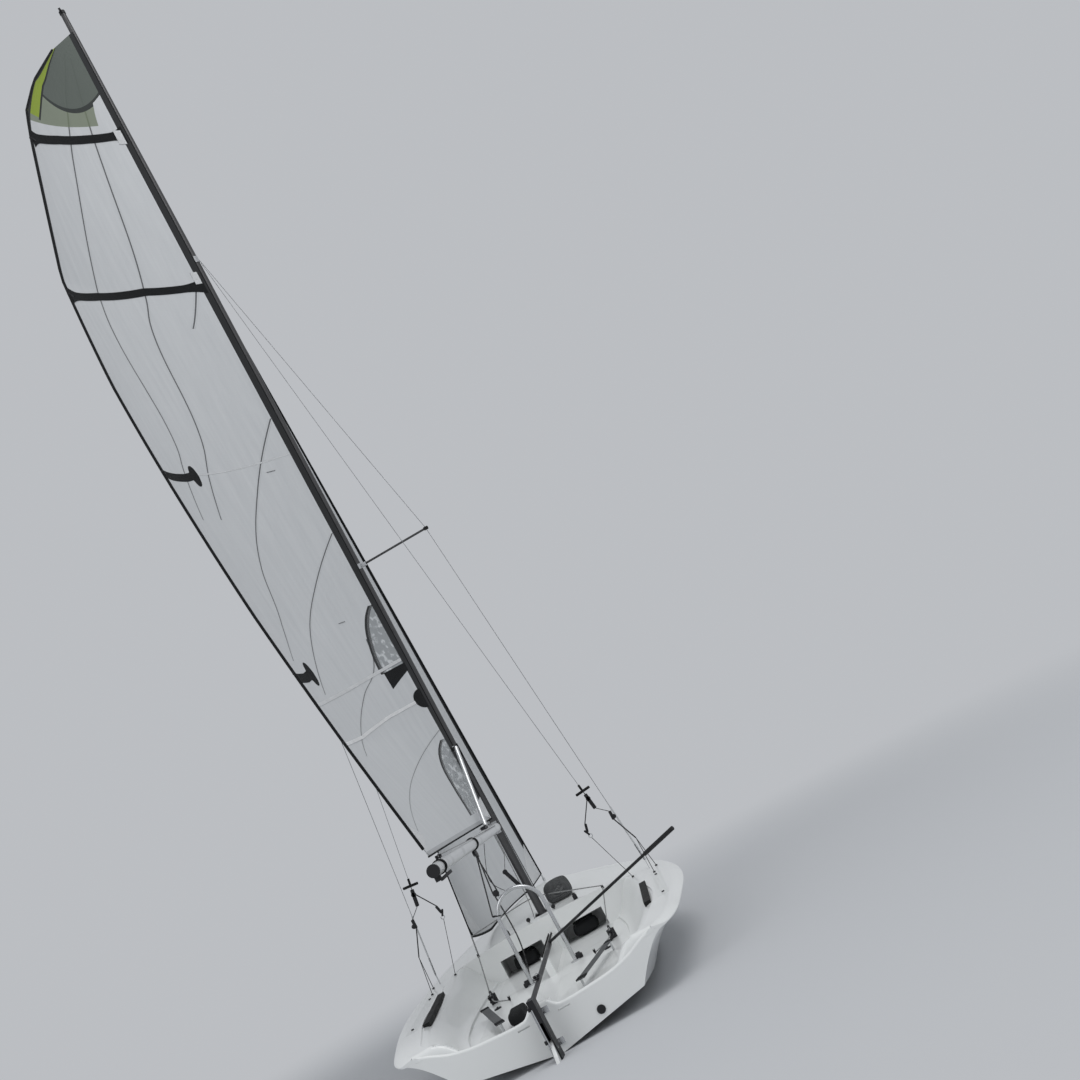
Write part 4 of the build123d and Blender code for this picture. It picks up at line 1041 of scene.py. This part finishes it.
def helm(x, y, z):
    """A point of the rudder's own frame, turned to its helm angle."""
    pin = at(pintle_x, 0, 0)
    return pin + Matrix.Rotation(-helm_angle, 3, "Z") @ (at(x, y, z) - pin)


for number, y in enumerate((0.009, 0.017)):
    line(f"stock_rod_{number}", [helm(-0.163, y, 0.29), helm(-0.163, y, -0.034)], 0.0035, "stainless", "rudder")
joined("stock_clamps",
    [brick(helm(-0.162, 0.0205, z), (0, 1, 0), (0.014, 0.022, 0.014), 0.003) for z in (0.296, 0.11)], body="rudder")
line("blade_downhaul", [helm(-0.15, 0.021, 0.06), helm(-0.1, 0.021, 0.3), helm(-0.06, 0.017, 0.305),
    helm(0.3, 0.012, 0.336)], 0.0026, "grey_line", "rudder")
cam_cleat("downhaul_cleat", helm(0.31, 0, 0.366), helm(1, 0, 0.08) - helm(0, 0, 0), "rudder")

# Bow fittings
joined("sprit_end", [ring(at(4.486, -0.062, 0.432), (1, 0, 0), 0.02, 0.003),
    ring(at(4.484, -0.062, 0.456), (0, 1, 0), 0.007, 0.002)], "stainless", "sprit")
cloth_bag("tower_bag", on_deck(0.42, 0.165, 0.034), (0.34, 0.11, 0.078), 7)
cloth_bag("mesh_bag", on_deck(2.965, -0.165, 0.07), (0.27, 0.21, 0.165), 13, "mesh")


# Floor, light and camera
floor_colour = (0.53, 0.54, 0.56)
sky_colour = (0.5, 0.515, 0.54)
floor_radius = 120.0
fade_start = 2.6
fade_end = 7.5


def water_level_floor():
    """A pale floor at the waterline that fades into the backdrop."""
    deselect()
    bpy.ops.mesh.primitive_circle_add(vertices=96, radius=floor_radius, fill_type="NGON", location=(0, 0, 0))
    floor = bpy.context.object
    floor.name = "floor"
    finish = Finish("pale floor")
    _, x, y, _ = finish.place()
    ahead = x - 1.5
    far = finish.wave("Math", {"operation": "SQRT"}, {0: ahead * ahead + y * y}).rising(fade_start, fade_end)
    diffuse = finish.node("BsdfDiffuse", {}, {"Color": opaque(floor_colour)})
    glow = finish.node("Emission", {}, {"Color": opaque(sky_colour), "Strength": 1.0})
    faded = finish.node("MixShader", {}, {0: far, 1: diffuse.outputs[0], 2: glow.outputs[0]})
    finish.node("OutputMaterial", {}, {"Surface": faded.outputs[0]})
    floor.data.materials.append(finish.made)


def soft_light():
    """A plain sky, one broad lamp overhead and one at the side."""
    sky = Finish("studio", bpy.data.worlds.new("studio"))
    bpy.context.scene.world = sky.made
    rays = sky.node("LightPath", {}, {}).outputs
    seen, glossy, passed = (Wave(sky, rays[f"Is {kind} Ray"]) for kind in ("Camera", "Glossy", "Transmission"))
    lit = sky.node("Background", {}, {"Color": (0.94, 0.97, 1.0, 1), "Strength": 0.62})
    shown = sky.node("Background", {}, {"Color": opaque(sky_colour), "Strength": 1.0})
    mixed = sky.node("MixShader", {}, {0: seen | glossy | passed, 1: lit.outputs[0], 2: shown.outputs[0]})
    sky.node("OutputWorld", {}, {"Surface": mixed.outputs[0]})
    for name, place, width, watts in (
        ("overhead lamp", at(-3.0, -5.0, 14.0), 9.0, 620),
        ("side lamp", at(-9.0, 7.0, 6.0), 6.0, 180),
    ):
        data = bpy.data.lights.new(name, "AREA")
        data.shape = "DISK"
        data.size = width
        data.energy = watts
        lamp = bpy.data.objects.new(name, data)
        placed(lamp, place, place - at(1.5, 0, 1.5))
        bpy.context.scene.collection.objects.link(lamp)


def photo_camera():
    flat = math.cos(photo_pitch)
    forward = at(math.cos(photo_yaw) * flat, math.sin(photo_yaw) * flat, math.sin(photo_pitch))
    level_right = at(math.sin(photo_yaw), -math.cos(photo_yaw), 0)
    level_up = level_right.cross(forward)
    right = level_right * math.cos(photo_roll) + level_up * math.sin(photo_roll)
    up = level_up * math.cos(photo_roll) - level_right * math.sin(photo_roll)
    data = bpy.data.cameras.new("photo camera")
    data.lens = photo_lens
    data.clip_start = 0.1
    data.clip_end = 200
    camera = bpy.data.objects.new("photo camera", data)
    turn = Matrix((right, up, -forward)).transposed().to_4x4()
    camera.matrix_world = Matrix.Translation(photo_place) @ turn
    bpy.context.scene.collection.objects.link(camera)
    bpy.context.scene.camera = camera


water_level_floor()
soft_light()
photo_camera()
bpy.context.scene.view_settings.view_transform = "Standard"
